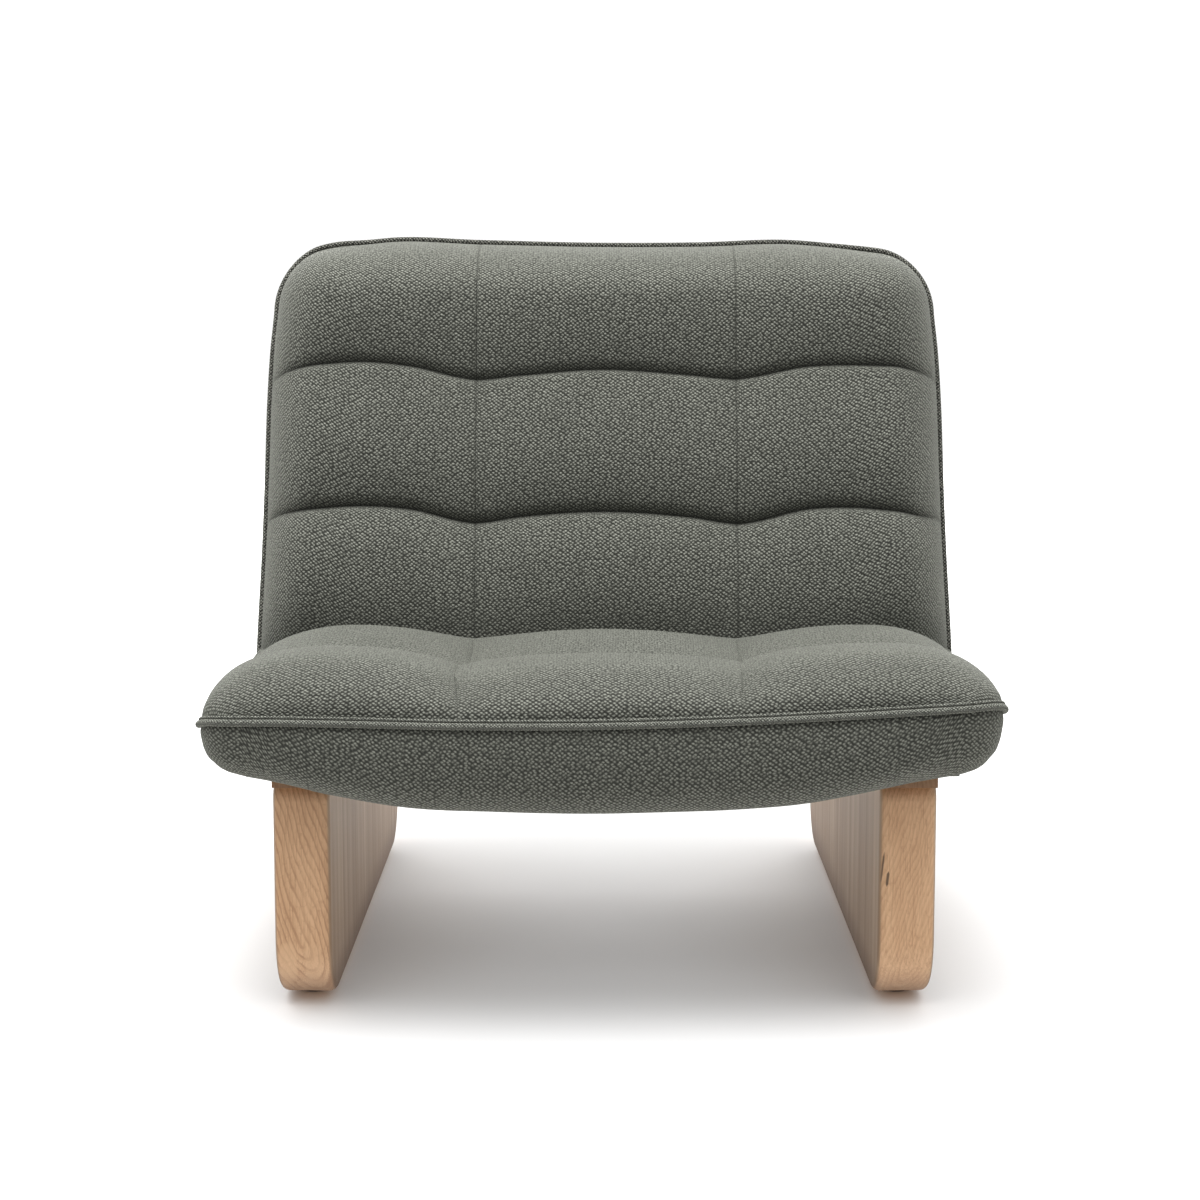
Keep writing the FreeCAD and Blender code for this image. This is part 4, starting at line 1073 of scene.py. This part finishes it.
    def build(self) -> list[Item]:
        """Pad from its top surface and an under surface that clears the seat's frame.

        Returns:
            The piece.
        """
        points, stitch_and_shade = self.surface()
        x, y = points[..., 0], points[..., 1]
        inside = left_over(np.abs(x), self.under_half, self.under_step)
        inside = inside * reached(y, self.under_front, self.under_step)
        edge = self.sewn_edge(x, y - FRONT_Y)
        raised = edge + np.clip(self.under_top - edge, 0, 1) * inside
        under = points.copy()
        under[..., 2] = np.minimum(raised, points[..., 2] - self.thinnest)
        piece = shell("seat_cushion", points, under, stitch_and_shade, self.cloth)
        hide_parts("seat_pad", "seat_foam")
        return [piece]


@dataclass(frozen=True)
class PlanLine:
    """Line round the seat from its left rear to its right rear, seen from above."""

    half_width: float = 0.4115
    front: float = 0.0055
    corner: float = 0.047
    rear_y: float = 0.205
    seam: float = 0.301
    side_points: int = 60
    turn_points: int = 26
    front_steps: Counts = (16, 110, 16)

    def path(self) -> tuple[Array, Array]:
        """Straight sides, quarter circles round the front corners and a straight front.

        Returns:
            The line's points, and the outward direction at each.
        """
        inner, front_y = self.half_width - self.corner, FRONT_Y + self.front
        side = np.linspace(self.rear_y, front_y + self.corner, self.side_points)[:-1]
        angle = np.linspace(0, np.pi / 2, self.turn_points)
        turn = -np.stack([np.cos(angle), np.sin(angle)], axis=-1)
        places, _, _ = stations((-inner, -self.seam, self.seam, inner), self.front_steps)
        front = np.stack([places, np.full_like(places, front_y)], axis=-1)[1:-1]
        half = np.concatenate([
            np.stack([np.full_like(side, -self.half_width), side], axis=-1),
            np.array([-inner, front_y + self.corner]) + self.corner * turn,
        ])
        half_away = np.concatenate([np.broadcast_to([-1.0, 0.0], (len(side), 2)), turn])
        path = np.concatenate([half, front, half[::-1] * MIRROR])
        away = np.concatenate([half_away, np.broadcast_to([0.0, -1.0], front.shape), half_away[::-1] * MIRROR])
        return path, away


@dataclass(frozen=True)
class SeatBand:
    """Band that hangs from the sewn edge, bellies in the middle and turns the front corners.

    Its profile runs down from the sewn edge to the tuck under the frame. Outs are outward from the plan line,
    and falls are shares of the drop.
    """

    cloth: Material
    pad: SeatPad
    plan: PlanLine = PlanLine()
    rows: int = 34
    bottom_places: Floats = (
        -0.4115, -0.381, -0.331, -0.280, -0.241, -0.212, -0.109, -0.005, 0.059, 0.145, 0.210, 0.258,
        0.300, 0.349, 0.390, 0.4115,
    )
    bottom_heights: Floats = (
        0.270, 0.267, 0.2575, 0.246, 0.2375, 0.2325, 0.2265, 0.2245, 0.2260, 0.2295, 0.236, 0.246,
        0.256, 0.2645, 0.270, 0.272,
    )
    side_bottom: float = 0.2535
    side_change: Pair = (0.05, 0.35)
    front_end: Pair = (0.28, 0.10)
    knots: Floats = (0.0, 0.16, 0.34, 0.52, 0.70, 0.86, 1.0)
    outs_front: Floats = (-0.001, 0.005, 0.007, 0.002, -0.017, -0.042, -0.0715)
    outs_side: Floats = (-0.001, 0.001, 0.000, -0.003, -0.010, -0.027, -0.064)
    falls_front: Floats = (0.03, 0.20, 0.46, 0.72, 0.93, 1.0, 1.0)
    falls_side: Floats = (0.03, 0.17, 0.34, 0.56, 0.76, 0.91, 1.0)
    turn_clear: float = 0.004
    turn_slope: float = 0.8
    turn_reach: float = 0.07
    turn_lift: float = 0.0135
    tuck: Pair = (0.70, 0.30)
    tuck_power: float = 1.5
    tuck_height: float = 0.2512
    seam_width: float = 0.0009
    seam_depth: float = 0.0009
    seam_mark: float = 0.6
    seam_end: float = 0.12
    skin: float = 0.003
    stuffing: float = 0.040
    inward: float = 0.8
    raise_below: float = 0.29
    raise_by: float = 0.009
    fill: float = 0.7

    def surface(self, path: Array, away: Array) -> tuple[Array, Array]:
        """Outer surface: rows down from the sewn edge, columns along the plan line.

        At a corner the tuck stops short of the turn's centre, so the cloth doesn't fold through itself.

        Args:
            path: points of the plan line.
            away: outward directions there.
        Returns:
            The points and their stitch marks.
        """
        x, depth = path[:, 0], path[:, 1] - FRONT_Y
        lead = self.pad.sewn_edge(x, depth)
        bottom = hermite(self.bottom_places, self.bottom_heights, x)
        bottom = bottom + (self.side_bottom - bottom) * eased(depth, *self.side_change) * np.abs(away[:, 0])
        share, _, _ = stations((0.0, 1.0), (self.rows,))
        at_front = 1 - eased(np.abs(x), *self.front_end)
        out, fall = (
            hermite(self.knots, front, share)[:, None] * at_front
            + hermite(self.knots, side, share)[:, None] * (1 - at_front)
            for front, side in ((self.outs_front, self.outs_side), (self.falls_front, self.falls_side))
        )
        run = path_lengths(path)
        turning = run[np.abs(away).min(axis=1) > HAIR]
        from_turn = np.abs(run[:, None] - turning[None, :]).min(axis=1)
        out = np.maximum(out, -(self.plan.corner - self.turn_clear + self.turn_slope * from_turn))
        tuck = reached(share, *self.tuck)[:, None] ** self.tuck_power
        height = lead - (lead - bottom) * fall
        tucked = self.tuck_height + self.turn_lift * left_over(from_turn, self.turn_reach, self.turn_reach)
        height = height + (tucked - height) * tuck
        points = np.stack([x + away[:, 0] * out, path[:, 1] + away[:, 1] * out, height], axis=-1)
        gap = np.abs(np.abs(points[..., 0]) - self.plan.seam)
        marks = self.seam_mark * bell(gap, self.seam_width) * (points[..., 1] <= FRONT_Y + self.seam_end)
        points[..., 1] += self.seam_depth * marks
        return drawn_out(points), marks

    def build(self) -> list[Item]:
        """Three padded parts of one band, parted at its two upright seams.

        Returns:
            The front, the left and the right piece.
        """
        path, away = self.plan.path()
        points, stitch_and_shade = self.surface(path, away)
        depth = self.skin + self.stuffing * np.sin(np.linspace(0, np.pi, len(points)))[:, None, None]
        inner = points.copy()
        inner[..., :2] -= away * depth * self.inward
        inner[..., 2] += self.raise_by * (inner[..., 2] < self.raise_below)
        run = path_lengths(path)
        left = np.flatnonzero(path[:, 0] <= -self.plan.seam + HAIR)
        right = np.flatnonzero(path[:, 0] >= self.plan.seam - HAIR)
        front = np.arange(left[-1], right[0] + 1)
        pieces = []
        for name, columns, node in (
            ("band_front", front, "seat_band_front"),
            ("band_left", left, "seat_band_left"),
            ("band_right", right, "seat_band_right"),
        ):
            grids = (grid[::-1, columns] for grid in (points, inner, stitch_and_shade))
            piece = shell(name, *grids, self.cloth, run[columns])
            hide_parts(node)
            pieces.append(piece)
        return pieces


# Back
@dataclass(frozen=True)
class BackPad:
    """Quilted back of three rows by three columns.

    Heights run along the slope and depths square to it, from the face to the rear; thick is the sewn edge's.
    Swells are depths from the face: in a seam, and what the full cell adds.
    """

    cloth: Material
    thick: float = 0.100
    low: float = -0.0495
    hem: float = 0.018
    hem_sides: Pair = (0.345, 0.05)
    belly: float = 0.072
    row_heights: Pair = (0.130, 0.304)
    top: float = 0.4936
    corner: float = 0.0856
    columns: Counts = (42, 44, 42)
    rows: Counts = (30, 38, 34, 30)
    side_places: Floats = (-0.05, 0.0, 0.1, 0.2, 0.3, 0.36, 0.41, 0.46, 0.50)
    half_widths: Floats = (0.4122, 0.4112, 0.4080, 0.4060, 0.4048, 0.4023, 0.3983, 0.3963, 0.3953)
    wave_places: Floats = (
        -0.40, -0.356, -0.336, -0.291, -0.259, -0.154, -0.006, 0.117, 0.228, 0.288, 0.327, 0.353, 0.40,
    )
    wave: Floats = (
        0.0, 0.001, -0.001, 0.0, 0.003, 0.0, -0.0035, -0.003, 0.0, -0.005, -0.008, -0.0055, -0.004,
    )
    wave_fade: Pair = (1.1, 4.0)
    crease_places: Floats = (
        -0.400, -0.364, -0.283, -0.234, -0.151, -0.102, -0.006, 0.100, 0.158, 0.247, 0.296, 0.345, 0.379, 0.400,
    )
    high_crease: Floats = (
        0.309, 0.3112, 0.316, 0.311, 0.296, 0.300, 0.307, 0.301, 0.297, 0.311, 0.313, 0.312, 0.310, 0.311,
    )
    low_crease: Floats = (
        0.136, 0.1355, 0.140, 0.137, 0.121, 0.127, 0.133, 0.127, 0.120, 0.137, 0.138, 0.134, 0.132, 0.137,
    )
    seam_left: float = -0.152
    seam_right: float = 0.157
    puff_reach: float = 0.55
    puff_power: float = 0.7
    belly_swell: Pair = (0.005, 0.013)
    crease_swell: Pair = (0.0005, -0.009)
    crown_swell: Pair = (-0.0165, -0.0100)
    belly_power: float = 2.4
    row_power: float = 0.9
    row_skew: float = 0.8
    side_reach: float = 0.070
    side_power: float = 0.56
    top_reach: float = 0.104
    top_power: float = 0.85
    thread: float = 0.0009
    sewn: float = 0.7
    crease: float = 0.0018
    crease_ends: Pair = (0.365, 0.03)
    ends_loss: float = 0.6
    fold: Pair = (0.0055, 0.0055)
    groove: float = 0.0014
    rake: float = 0.329
    rake_reach: float = 0.12
    # Painted shade added to the stitch marks: above the creases, near the seat and where creases meet seams.
    above_shade: Pair = (0.022, 0.10)
    low_shade: Triple = (0.050, 0.055, 0.40)
    low_shade_power: float = 1.5
    corner_shade: Triple = (0.016, 0.018, 0.17)
    skin: float = 0.0035
    thinnest: float = 0.0005
    fill: float = 0.8

    def half_width(self, height: Array, grow: float = 0.0) -> Array:
        """Half width of the outline, with the rounded top corner.

        Args:
            height: heights along the slope.
            grow: how far outside the pad's own outline.
        Returns:
            The half width at each height.
        """
        straight = hermite(self.side_places, self.half_widths, height) + grow
        turn = self.corner + grow
        above = np.clip(height - (self.top + grow - turn), 0, turn)
        return straight - turn + np.sqrt(np.clip(turn ** 2 - above ** 2, 0, None))

    def waved(self, across: Array, up: Array) -> Array:
        """Heights with the slight wave of the top edge, which fades out down the back."""
        most, power = self.wave_fade
        return up + np.clip(up / self.top, 0, most) ** power * hermite(self.wave_places, self.wave, across)

    def swell(self, height: Array, row: Array, rise: Array, puff: Array) -> Array:
        """Depth of the stuffed face, before its edges are rounded.

        The low row bellies out, the middle one is an arch, and the top one rises from its crease and stays full.

        Args:
            height: height of each row of the grid.
            row: quilted row that it lies in.
            rise: its share of that row.
            puff: how full each grid line is.
        Returns:
            The depths.
        """
        under_belly = height < self.belly
        below = left_over(height, self.belly, self.belly - self.low)
        above = reached(height, self.belly, self.row_heights[0] - self.belly)
        share = np.choose(row, [
            np.where(under_belly, 1 - below ** self.belly_power, bowed(above, self.row_power)),
            arch(rise ** self.row_skew, self.row_power),
            edge_rise(rise, 1.0, self.row_power),
            np.ones_like(rise),
        ])[:, None]
        belly, crease, crown = (
            seam + more * puff for seam, more in (self.belly_swell, self.crease_swell, self.crown_swell)
        )
        start = np.where(((row == 0) & under_belly)[:, None], belly, crease)
        return start + (crown - start) * share

    def surface(self) -> tuple[Array, Array, Array, Array]:
        """Face of the back: rows follow the wavy creases, and its edges are rounded quarter ovals.

        Returns:
            The places across, the heights, the depths and the stitch marks with painted shade added.
        """
        full = self.top - self.top_reach
        _, row, rise = stations((0.0, 1.0, 2.0, 3.0, 4.0), self.rows)
        nominal = np.array((self.low, *self.row_heights, full, self.top))
        height = nominal[row] + (nominal[row + 1] - nominal[row]) * rise
        wide = self.half_width(height)[:, None]
        left, right = (np.full_like(wide, place) for place in (self.seam_left, self.seam_right))
        across, _, puff = quilted_columns(wide, left, right, self.columns, self.puff_reach, self.puff_power)
        low_line = hermite(self.crease_places, self.low_crease, across)
        high_line = hermite(self.crease_places, self.high_crease, across)
        hem = self.low - self.hem * left_over(np.abs(across), *self.hem_sides)
        lines = np.stack(np.broadcast_arrays(hem, low_line, high_line, full, self.top))
        at = np.arange(len(row))
        up = lines[row, at] + (lines[row + 1, at] - lines[row, at]) * rise[:, None]
        sides = edge_rise(wide - np.abs(across), self.side_reach, self.side_power)
        crest = edge_rise(self.top - up, self.top_reach, self.top_power)
        seam_gap = np.minimum(np.abs(across - left), np.abs(across - right))
        row_gap = np.minimum(np.abs(up - low_line), np.abs(up - high_line))
        held = 1 - self.ends_loss * reached(np.abs(across), *self.crease_ends)
        marks = self.sewn * bell(seam_gap, self.thread) + held * bell(row_gap, self.crease)
        fold_width, fold = self.fold
        face = self.thick - self.swell(height, row, rise, puff) - fold * bell(row_gap, fold_width)
        depth = self.thick - face * sides * crest + self.groove * np.clip(marks, 0, 1)
        rake = left_over(up, self.low + self.rake_reach, self.rake_reach) ** 2
        up = self.waved(across, up + self.rake * np.clip(depth, 0, None) * rake)
        # Painted shade joins the stitch marks.
        shade = self.shade(up, low_line, high_line, seam_gap, row_gap)
        return across, up, depth, np.clip(marks + shade, 0, 1)

    def shade(self, up: Array, low_line: Array, high_line: Array, seam_gap: Array, row_gap: Array) -> Array:
        """Painted shade: darker cloth just above the creases, near the seat and where creases meet seams.

        Args:
            up: heights along the slope.
            low_line: heights of the low crease.
            high_line: heights of the high crease.
            seam_gap: distance to the nearer seam.
            row_gap: distance to the nearer crease.
        Returns:
            The painted shade marks to add.
        """
        over = np.minimum(*(np.where(up > line, up - line, 1) for line in (low_line, high_line)))
        width, share = self.above_shade
        above = share * bell(over, width)
        end, run, share = self.low_shade
        low = share * left_over(up, end, run) ** self.low_shade_power
        seam_width, row_width, share = self.corner_shade
        return above + low + share * bell(seam_gap, seam_width) * bell(row_gap, row_width)

    def build(self) -> list[Item]:
        """Pad from its face and an inner sheet just in front of the back's frame.

        Returns:
            The piece.
        """
        across, up, depth, stitch_and_shade = self.surface()
        inner = np.maximum(self.thick - self.skin, depth + self.thinnest)
        grids = (BACK.world(across, sheet, up) for sheet in (depth, inner))
        piece = shell("back_cushion", *grids, stitch_and_shade, self.cloth)
        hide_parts("back_pad", "back_foam")
        return [piece]


@dataclass(frozen=True)
class RearCover:
    """Cloth cover behind the back, padded and rounded, down to the underside of the frame."""

    cloth: Material
    pad: BackPad
    low: float = -0.046
    inset: float = 0.001
    steps: int = 90
    narrower: float = 0.0005
    gap: float = 0.0005
    thick: float = 0.0505
    puff: float = 0.0015
    side_reach: float = 0.034
    top_reach: float = 0.036
    power: float = 0.5
    cut: float = 0.252
    room_half: float = 0.350
    room_top: float = 0.455
    room_step: float = 0.003
    room: float = 0.0385
    lining: float = 0.0006
    thinnest: float = 0.0015
    fill: float = 0.6

    def build(self) -> list[Item]:
        """One rounded sheet and an inner one that leaves room for the frame.

        Rows go round from the sewn edge over the rear, and columns run across.

        Returns:
            The piece.
        """
        share, _, _ = stations((-1.0, 1.0), (self.steps,))
        up, _, _ = stations((self.low, self.pad.top - self.inset), (self.steps,))
        wide = self.pad.half_width(up, -self.narrower)[:, None]
        across = wide * share
        height = np.broadcast_to(up[:, None], across.shape)
        sides = edge_rise(wide - np.abs(across), self.side_reach, self.power)
        crest = edge_rise(self.pad.top - height, self.top_reach, self.power)
        puff = self.puff * arch((share + 1) / 2, self.power)
        outer = self.pad.thick + self.gap + (self.thick + puff) * sides * crest
        room = left_over(np.abs(across), self.room_half, self.room_step)
        room = room * left_over(height, self.room_top, self.room_step)
        inner = np.minimum(self.pad.thick + self.lining + self.room * room, outer - self.thinnest)
        raised = self.pad.waved(across, height)
        sheets = [BACK.world(across, depth, raised)[:, ::-1] for depth in (outer, inner)]
        for sheet in sheets:
            sheet[..., 2] = np.maximum(sheet[..., 2], self.cut)
        piece = shell("back_cover", *sheets, np.zeros(across.shape), self.cloth)
        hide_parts("rear_cover")
        return [piece]


# Welts
@dataclass(frozen=True)
class Cord:
    """Cord of the seat's piped edge: how far it lies outward from and above the sewn line, and its radius."""

    name: str
    out: float
    lift: float
    radius: float


@dataclass(frozen=True)
class SeatWelt:
    """Piped edge of the seat: the cord, and above it the thin lip where the top cover is sewn to it."""

    cloth: Material
    pad: SeatPad
    plan: PlanLine = PlanLine(corner=0.044, rear_y=0.192)
    cords: tuple[Cord, ...] = (
        Cord("seat_piping", 0.0020, -0.0024, 0.0038), Cord("seat_piping_lip", 0.0006, 0.0031, 0.0017),
    )

    def build(self) -> list[Item]:
        """Each cord along the sewn edge.

        Returns:
            The pieces.
        """
        pieces = []
        for cord in self.cords:
            plan = replace(
                self.plan, half_width=self.plan.half_width + cord.out, front=self.plan.front - cord.out,
                corner=self.plan.corner + cord.out,
            )
            path, _ = plan.path()
            z = self.pad.sewn_edge(path[:, 0], path[:, 1] - FRONT_Y) + cord.lift
            line = drawn_out(np.concatenate([path, z[:, None]], axis=1))
            piece = tube_piece(cord.name, line, cord.radius, self.cloth)
            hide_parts("seat_welt")
            pieces.append(piece)
        return pieces


@dataclass(frozen=True)
class BackWelt:
    """Piped edge round the back, up one side, over the top and down the other."""

    cloth: Material
    pad: BackPad
    grow: float = 0.0028
    radius: float = 0.0033
    low: float = -0.040
    side_points: int = 60
    turn_points: int = 24

    def path(self) -> Array:
        """Line just outside the pad's outline.

        Returns:
            The places across and the heights along the slope.
        """
        turn, high = self.pad.corner + self.grow, self.pad.top + self.grow
        side = np.linspace(self.low, high - turn, self.side_points)[:-1]
        angle = np.linspace(0, np.pi / 2, self.turn_points)
        inner = float(self.pad.half_width(np.array([high - turn]), self.grow)[0]) - turn
        half = np.concatenate([
            np.stack([self.pad.half_width(side, self.grow), side], axis=-1),
            np.array([inner, high - turn]) + turn * np.stack([np.cos(angle), np.sin(angle)], axis=-1),
        ])
        places = np.linspace(inner, -inner, self.side_points)[1:-1]
        top = np.stack([places, np.full_like(places, high)], axis=-1)
        return np.concatenate([half, top, half[::-1] * MIRROR])

    def build(self) -> list[Item]:
        """Cord along that line at the sewn edge's depth.

        Returns:
            The piece.
        """
        across, up = self.path().T
        points = BACK.world(across, self.pad.thick, self.pad.waved(across, up))
        piece = tube_piece("back_piping", points, self.radius, self.cloth, up=BACK.rearward())
        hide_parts("back_welt")
        return [piece]


# Frame
@dataclass(frozen=True)
class Dressing:
    """Material for CAD nodes that show as they are."""

    name: str
    finish: Finish
    nodes: tuple[str, ...]


@dataclass(frozen=True)
class Carcass:
    """Frame and fittings, which keep their CAD shapes."""

    dressings: tuple[Dressing, ...] = (
        Dressing("oak_left", TimberFinish(vein=0.55, patches=(
            Patch(-0.3355, 0.052, 0.0100, 0.026, 0.60), Patch(-0.3085, 0.050, 0.0090, 0.026, 0.45),
        )), ("leg_slab_left",)),
        Dressing("oak_right", TimberFinish(heart_x=0.322, heart_z=0.050, lean=-0.34, ring=0.0048, splits=(
            Split(0.2902, 0.139, 0.2940, 0.176, 0.0008), Split(0.2968, 0.138, 0.2985, 0.155, 0.0013),
        )), ("leg_slab_right",)),
        # Darker copy of the oak: painted shade on the rails just under the seat band.
        Dressing("oak_rail_painted_shade", TimberFinish(light=rgb(150, 116, 86), middle=rgb(132, 100, 73), dark=rgb(108, 80, 58)), (
            "seat_front_rail", "seat_bearer_left", "seat_bearer_right",
        )),
        Dressing("frame_beech", SpeckledFinish(
            rgb(206, 176, 134), rgb(176, 142, 98), 160.0, 0.55, 0.0002, stretch=(0.12, 1.0, 1.0),
        ), (
            "seat_rear_rail", "seat_side_rail_left", "seat_side_rail_right", "corner_blocks", "back_post_left",
            "back_post_right", "back_lower_rail", "back_middle_rail", "back_top_rail",
        )),
        Dressing("zinc_steel", SpeckledFinish(
            rgb(176, 178, 182), rgb(140, 142, 148), 900.0, 0.28, 0.00005, metal=1.0,
        ), ("glide_screws", "leg_bolts", "leg_washers", "leg_inserts", "front_rail_screws", "post_screws")),
        Dressing("glide_plastic", SpeckledFinish(rgb(26, 26, 27), rgb(38, 38, 39), 700.0, 0.42, 0.00008), (
            "glide_front_left", "glide_front_right", "glide_rear_left", "glide_rear_right",
        )),
        Dressing("strap_elastic", SpeckledFinish(
            rgb(52, 50, 48), rgb(86, 82, 76), 520.0, 0.75, 0.0004, stretch=(1.0, 4.0, 1.0),
        ), ("seat_webbing_long", "seat_webbing_cross", "back_webbing")),
        Dressing("foam_cells", SpeckledFinish(rgb(226, 220, 196), rgb(206, 198, 168), 600.0, 0.85, 0.0006), (
            "seat_foam", "back_foam",
        )),
        Dressing("dust_cloth", SpeckledFinish(rgb(30, 31, 31), rgb(46, 47, 47), 1300.0, 0.86, 0.0003), (
            "dust_cover",
        )),
        Dressing("twine", SpeckledFinish(rgb(190, 182, 158), rgb(150, 142, 118), 1500.0, 0.8, 0.0003), (
            "tuft_ties",
        )),
    )

    def build(self) -> None:
        """Put each material on its nodes, as their only one."""
        for dressing in self.dressings:
            material = dressing.finish.material(dressing.name)
            for node in dressing.nodes:
                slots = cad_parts[node].data.materials
                slots.clear()
                slots.append(material)
            LOG.info("dressed %s in %s", ", ".join(dressing.nodes), dressing.name)


# Studio
@dataclass(frozen=True)
class FloorFinish(Finish):
    """Pale floor with a faint grain."""

    tones: tuple[Colour, Colour] = (rgb(222, 222, 222), rgb(225, 225, 225))
    scale: float = 3.0
    spread: Pair = (0.3, 0.7)
    rough: float = 0.75
    gloss: float = 0.1

    def inputs(self, nodes: Nodes) -> dict[str, object]:
        """Shader inputs by name, with the colour from one noise."""
        tone = nodes.mix(nodes.ramp(nodes.noise(nodes.place(), self.scale, detail=2.0), *self.spread), *self.tones)
        return {"Base Color": tone, "Roughness": self.rough, "Specular IOR Level": self.gloss}


@dataclass(frozen=True)
class AreaLight:
    """Soft rectangular light: where it stands, the point it faces, its size in metres and its power in watts."""

    name: str
    place: Triple
    target: Triple
    size: Pair
    power: float

    def build(self) -> None:
        """Add the light to the scene."""
        light = bpy.data.lights.new(self.name, "AREA")
        light.shape = "RECTANGLE"
        light.size, light.size_y = self.size
        light.energy = self.power
        item = bpy.data.objects.new(self.name, light)
        item.location = self.place
        item.rotation_euler = (Vector(self.target) - Vector(self.place)).to_track_quat("-Z", "Y").to_euler()
        bpy.context.scene.collection.objects.link(item)


@dataclass(frozen=True)
class Studio:
    """Pale floor, soft lights, sky and camera; lengths in metres, the camera's pitch in degrees from straight down."""

    place: Triple = (-0.005, -3.8253, 1.090)
    pitch: float = 79.5
    lens: float = 102.42
    sensor: float = 36.0
    far: float = 400.0
    floor_half: float = 150.0
    sky_low: Colour = (0.31, 0.31, 0.315, 1.0)
    sky_high: Colour = (1.95, 1.95, 1.95, 1.0)
    sky_rise: Pair = (0.05, 0.95)
    bounce: Colour = (2.0, 1.97, 1.93, 1.0)
    bounce_fall: Pair = (0.32, 0.88)
    lights: tuple[AreaLight, ...] = (
        AreaLight("key", (-0.4, -0.5, 3.0), (0.0, -0.1, 0.3), (2.8, 2.0), 70.0),
        AreaLight("rear_fill", (0.0, 3.4, 1.1), (0.0, 0.0, 0.1), (4.5, 1.6), 145.0),
    )

    def floor(self) -> None:
        """Wide plane under the chair, which throws no light back; the world's lower half stands in for that."""
        mesh = bpy.data.meshes.new("floor")
        half = self.floor_half
        corners = [(-half, -half, 0.0), (half, -half, 0.0), (half, half, 0.0), (-half, half, 0.0)]
        mesh.from_pydata(corners, [], [(0, 1, 2, 3)])
        item = bpy.data.objects.new("floor", mesh)
        bpy.context.scene.collection.objects.link(item)
        mesh.materials.append(FloorFinish().material("studio_floor"))
        item.visible_diffuse = False

    def sky(self) -> None:
        """World that is dim at the horizon and bright overhead, with the floor's bounce from below."""
        world = bpy.data.worlds.new("studio")
        bpy.context.scene.world = world
        world.use_nodes = True
        nodes = Nodes(world.node_tree)
        _, _, up = nodes.axes(nodes.add("ShaderNodeTexCoord").outputs["Generated"])
        tone = nodes.mix(nodes.ramp(up, *self.sky_rise), self.sky_low, self.sky_high)
        down = nodes.times(up, -1.0)
        tone = nodes.mix(nodes.ramp(down, *self.bounce_fall), tone, self.bounce)
        nodes.feed(world.node_tree.nodes["Background"].inputs, {"Color": tone, "Strength": 1.0})

    def camera(self) -> None:
        """Camera in front of the chair, a little above its back."""
        scene = bpy.context.scene
        camera = bpy.data.cameras.new("camera")
        camera.lens = self.lens
        camera.sensor_width = self.sensor
        camera.clip_end = self.far
        item = bpy.data.objects.new("camera", camera)
        item.location = self.place
        item.rotation_euler = (math.radians(self.pitch), 0.0, 0.0)
        scene.collection.objects.link(item)
        scene.camera = item

    def build(self) -> None:
        """Floor, sky, lights and camera."""
        self.floor()
        self.sky()
        for light in self.lights:
            light.build()
        bpy.context.scene.view_settings.view_transform = "Standard"
        self.camera()


def main() -> None:
    """Build the studio and dress the chair, piece by piece."""
    logging.basicConfig(level=logging.INFO, format="%(name)s: %(message)s")
    Studio().build()
    cover = ClothFinish().material("upholstery_weave")
    plain = ClothFinish(
        light=rgb(138, 140, 130), middle=rgb(88, 89, 82), dark=rgb(44, 45, 41), bump=0.0006, random=0.45,
    ).material("band_weave")
    piping = ClothFinish(
        pitch=0.0034, row_pitch=0.0017, light=rgb(166, 168, 157), middle=rgb(104, 105, 98), dark=rgb(44, 45, 41),
        bump=0.0004,
    ).material("piping_weave")
    twist = ClothFinish(
        pitch=0.0040, row_pitch=0.0022, light=rgb(166, 166, 156), middle=rgb(86, 86, 80), dark=rgb(20, 20, 18),
    ).material("piping_twist")
    seat, back = SeatPad(cover), BackPad(cover)
    makers = (
        seat, SeatBand(plain, seat), back, RearCover(cover, back), SeatWelt(piping, seat), BackWelt(twist, back),
    )
    for maker in makers:
        for piece in maker.build():
            LOG.info("built %s with %d faces", piece.name, len(piece.data.polygons))
    Carcass().build()


if __name__ == "__main__":
    main()
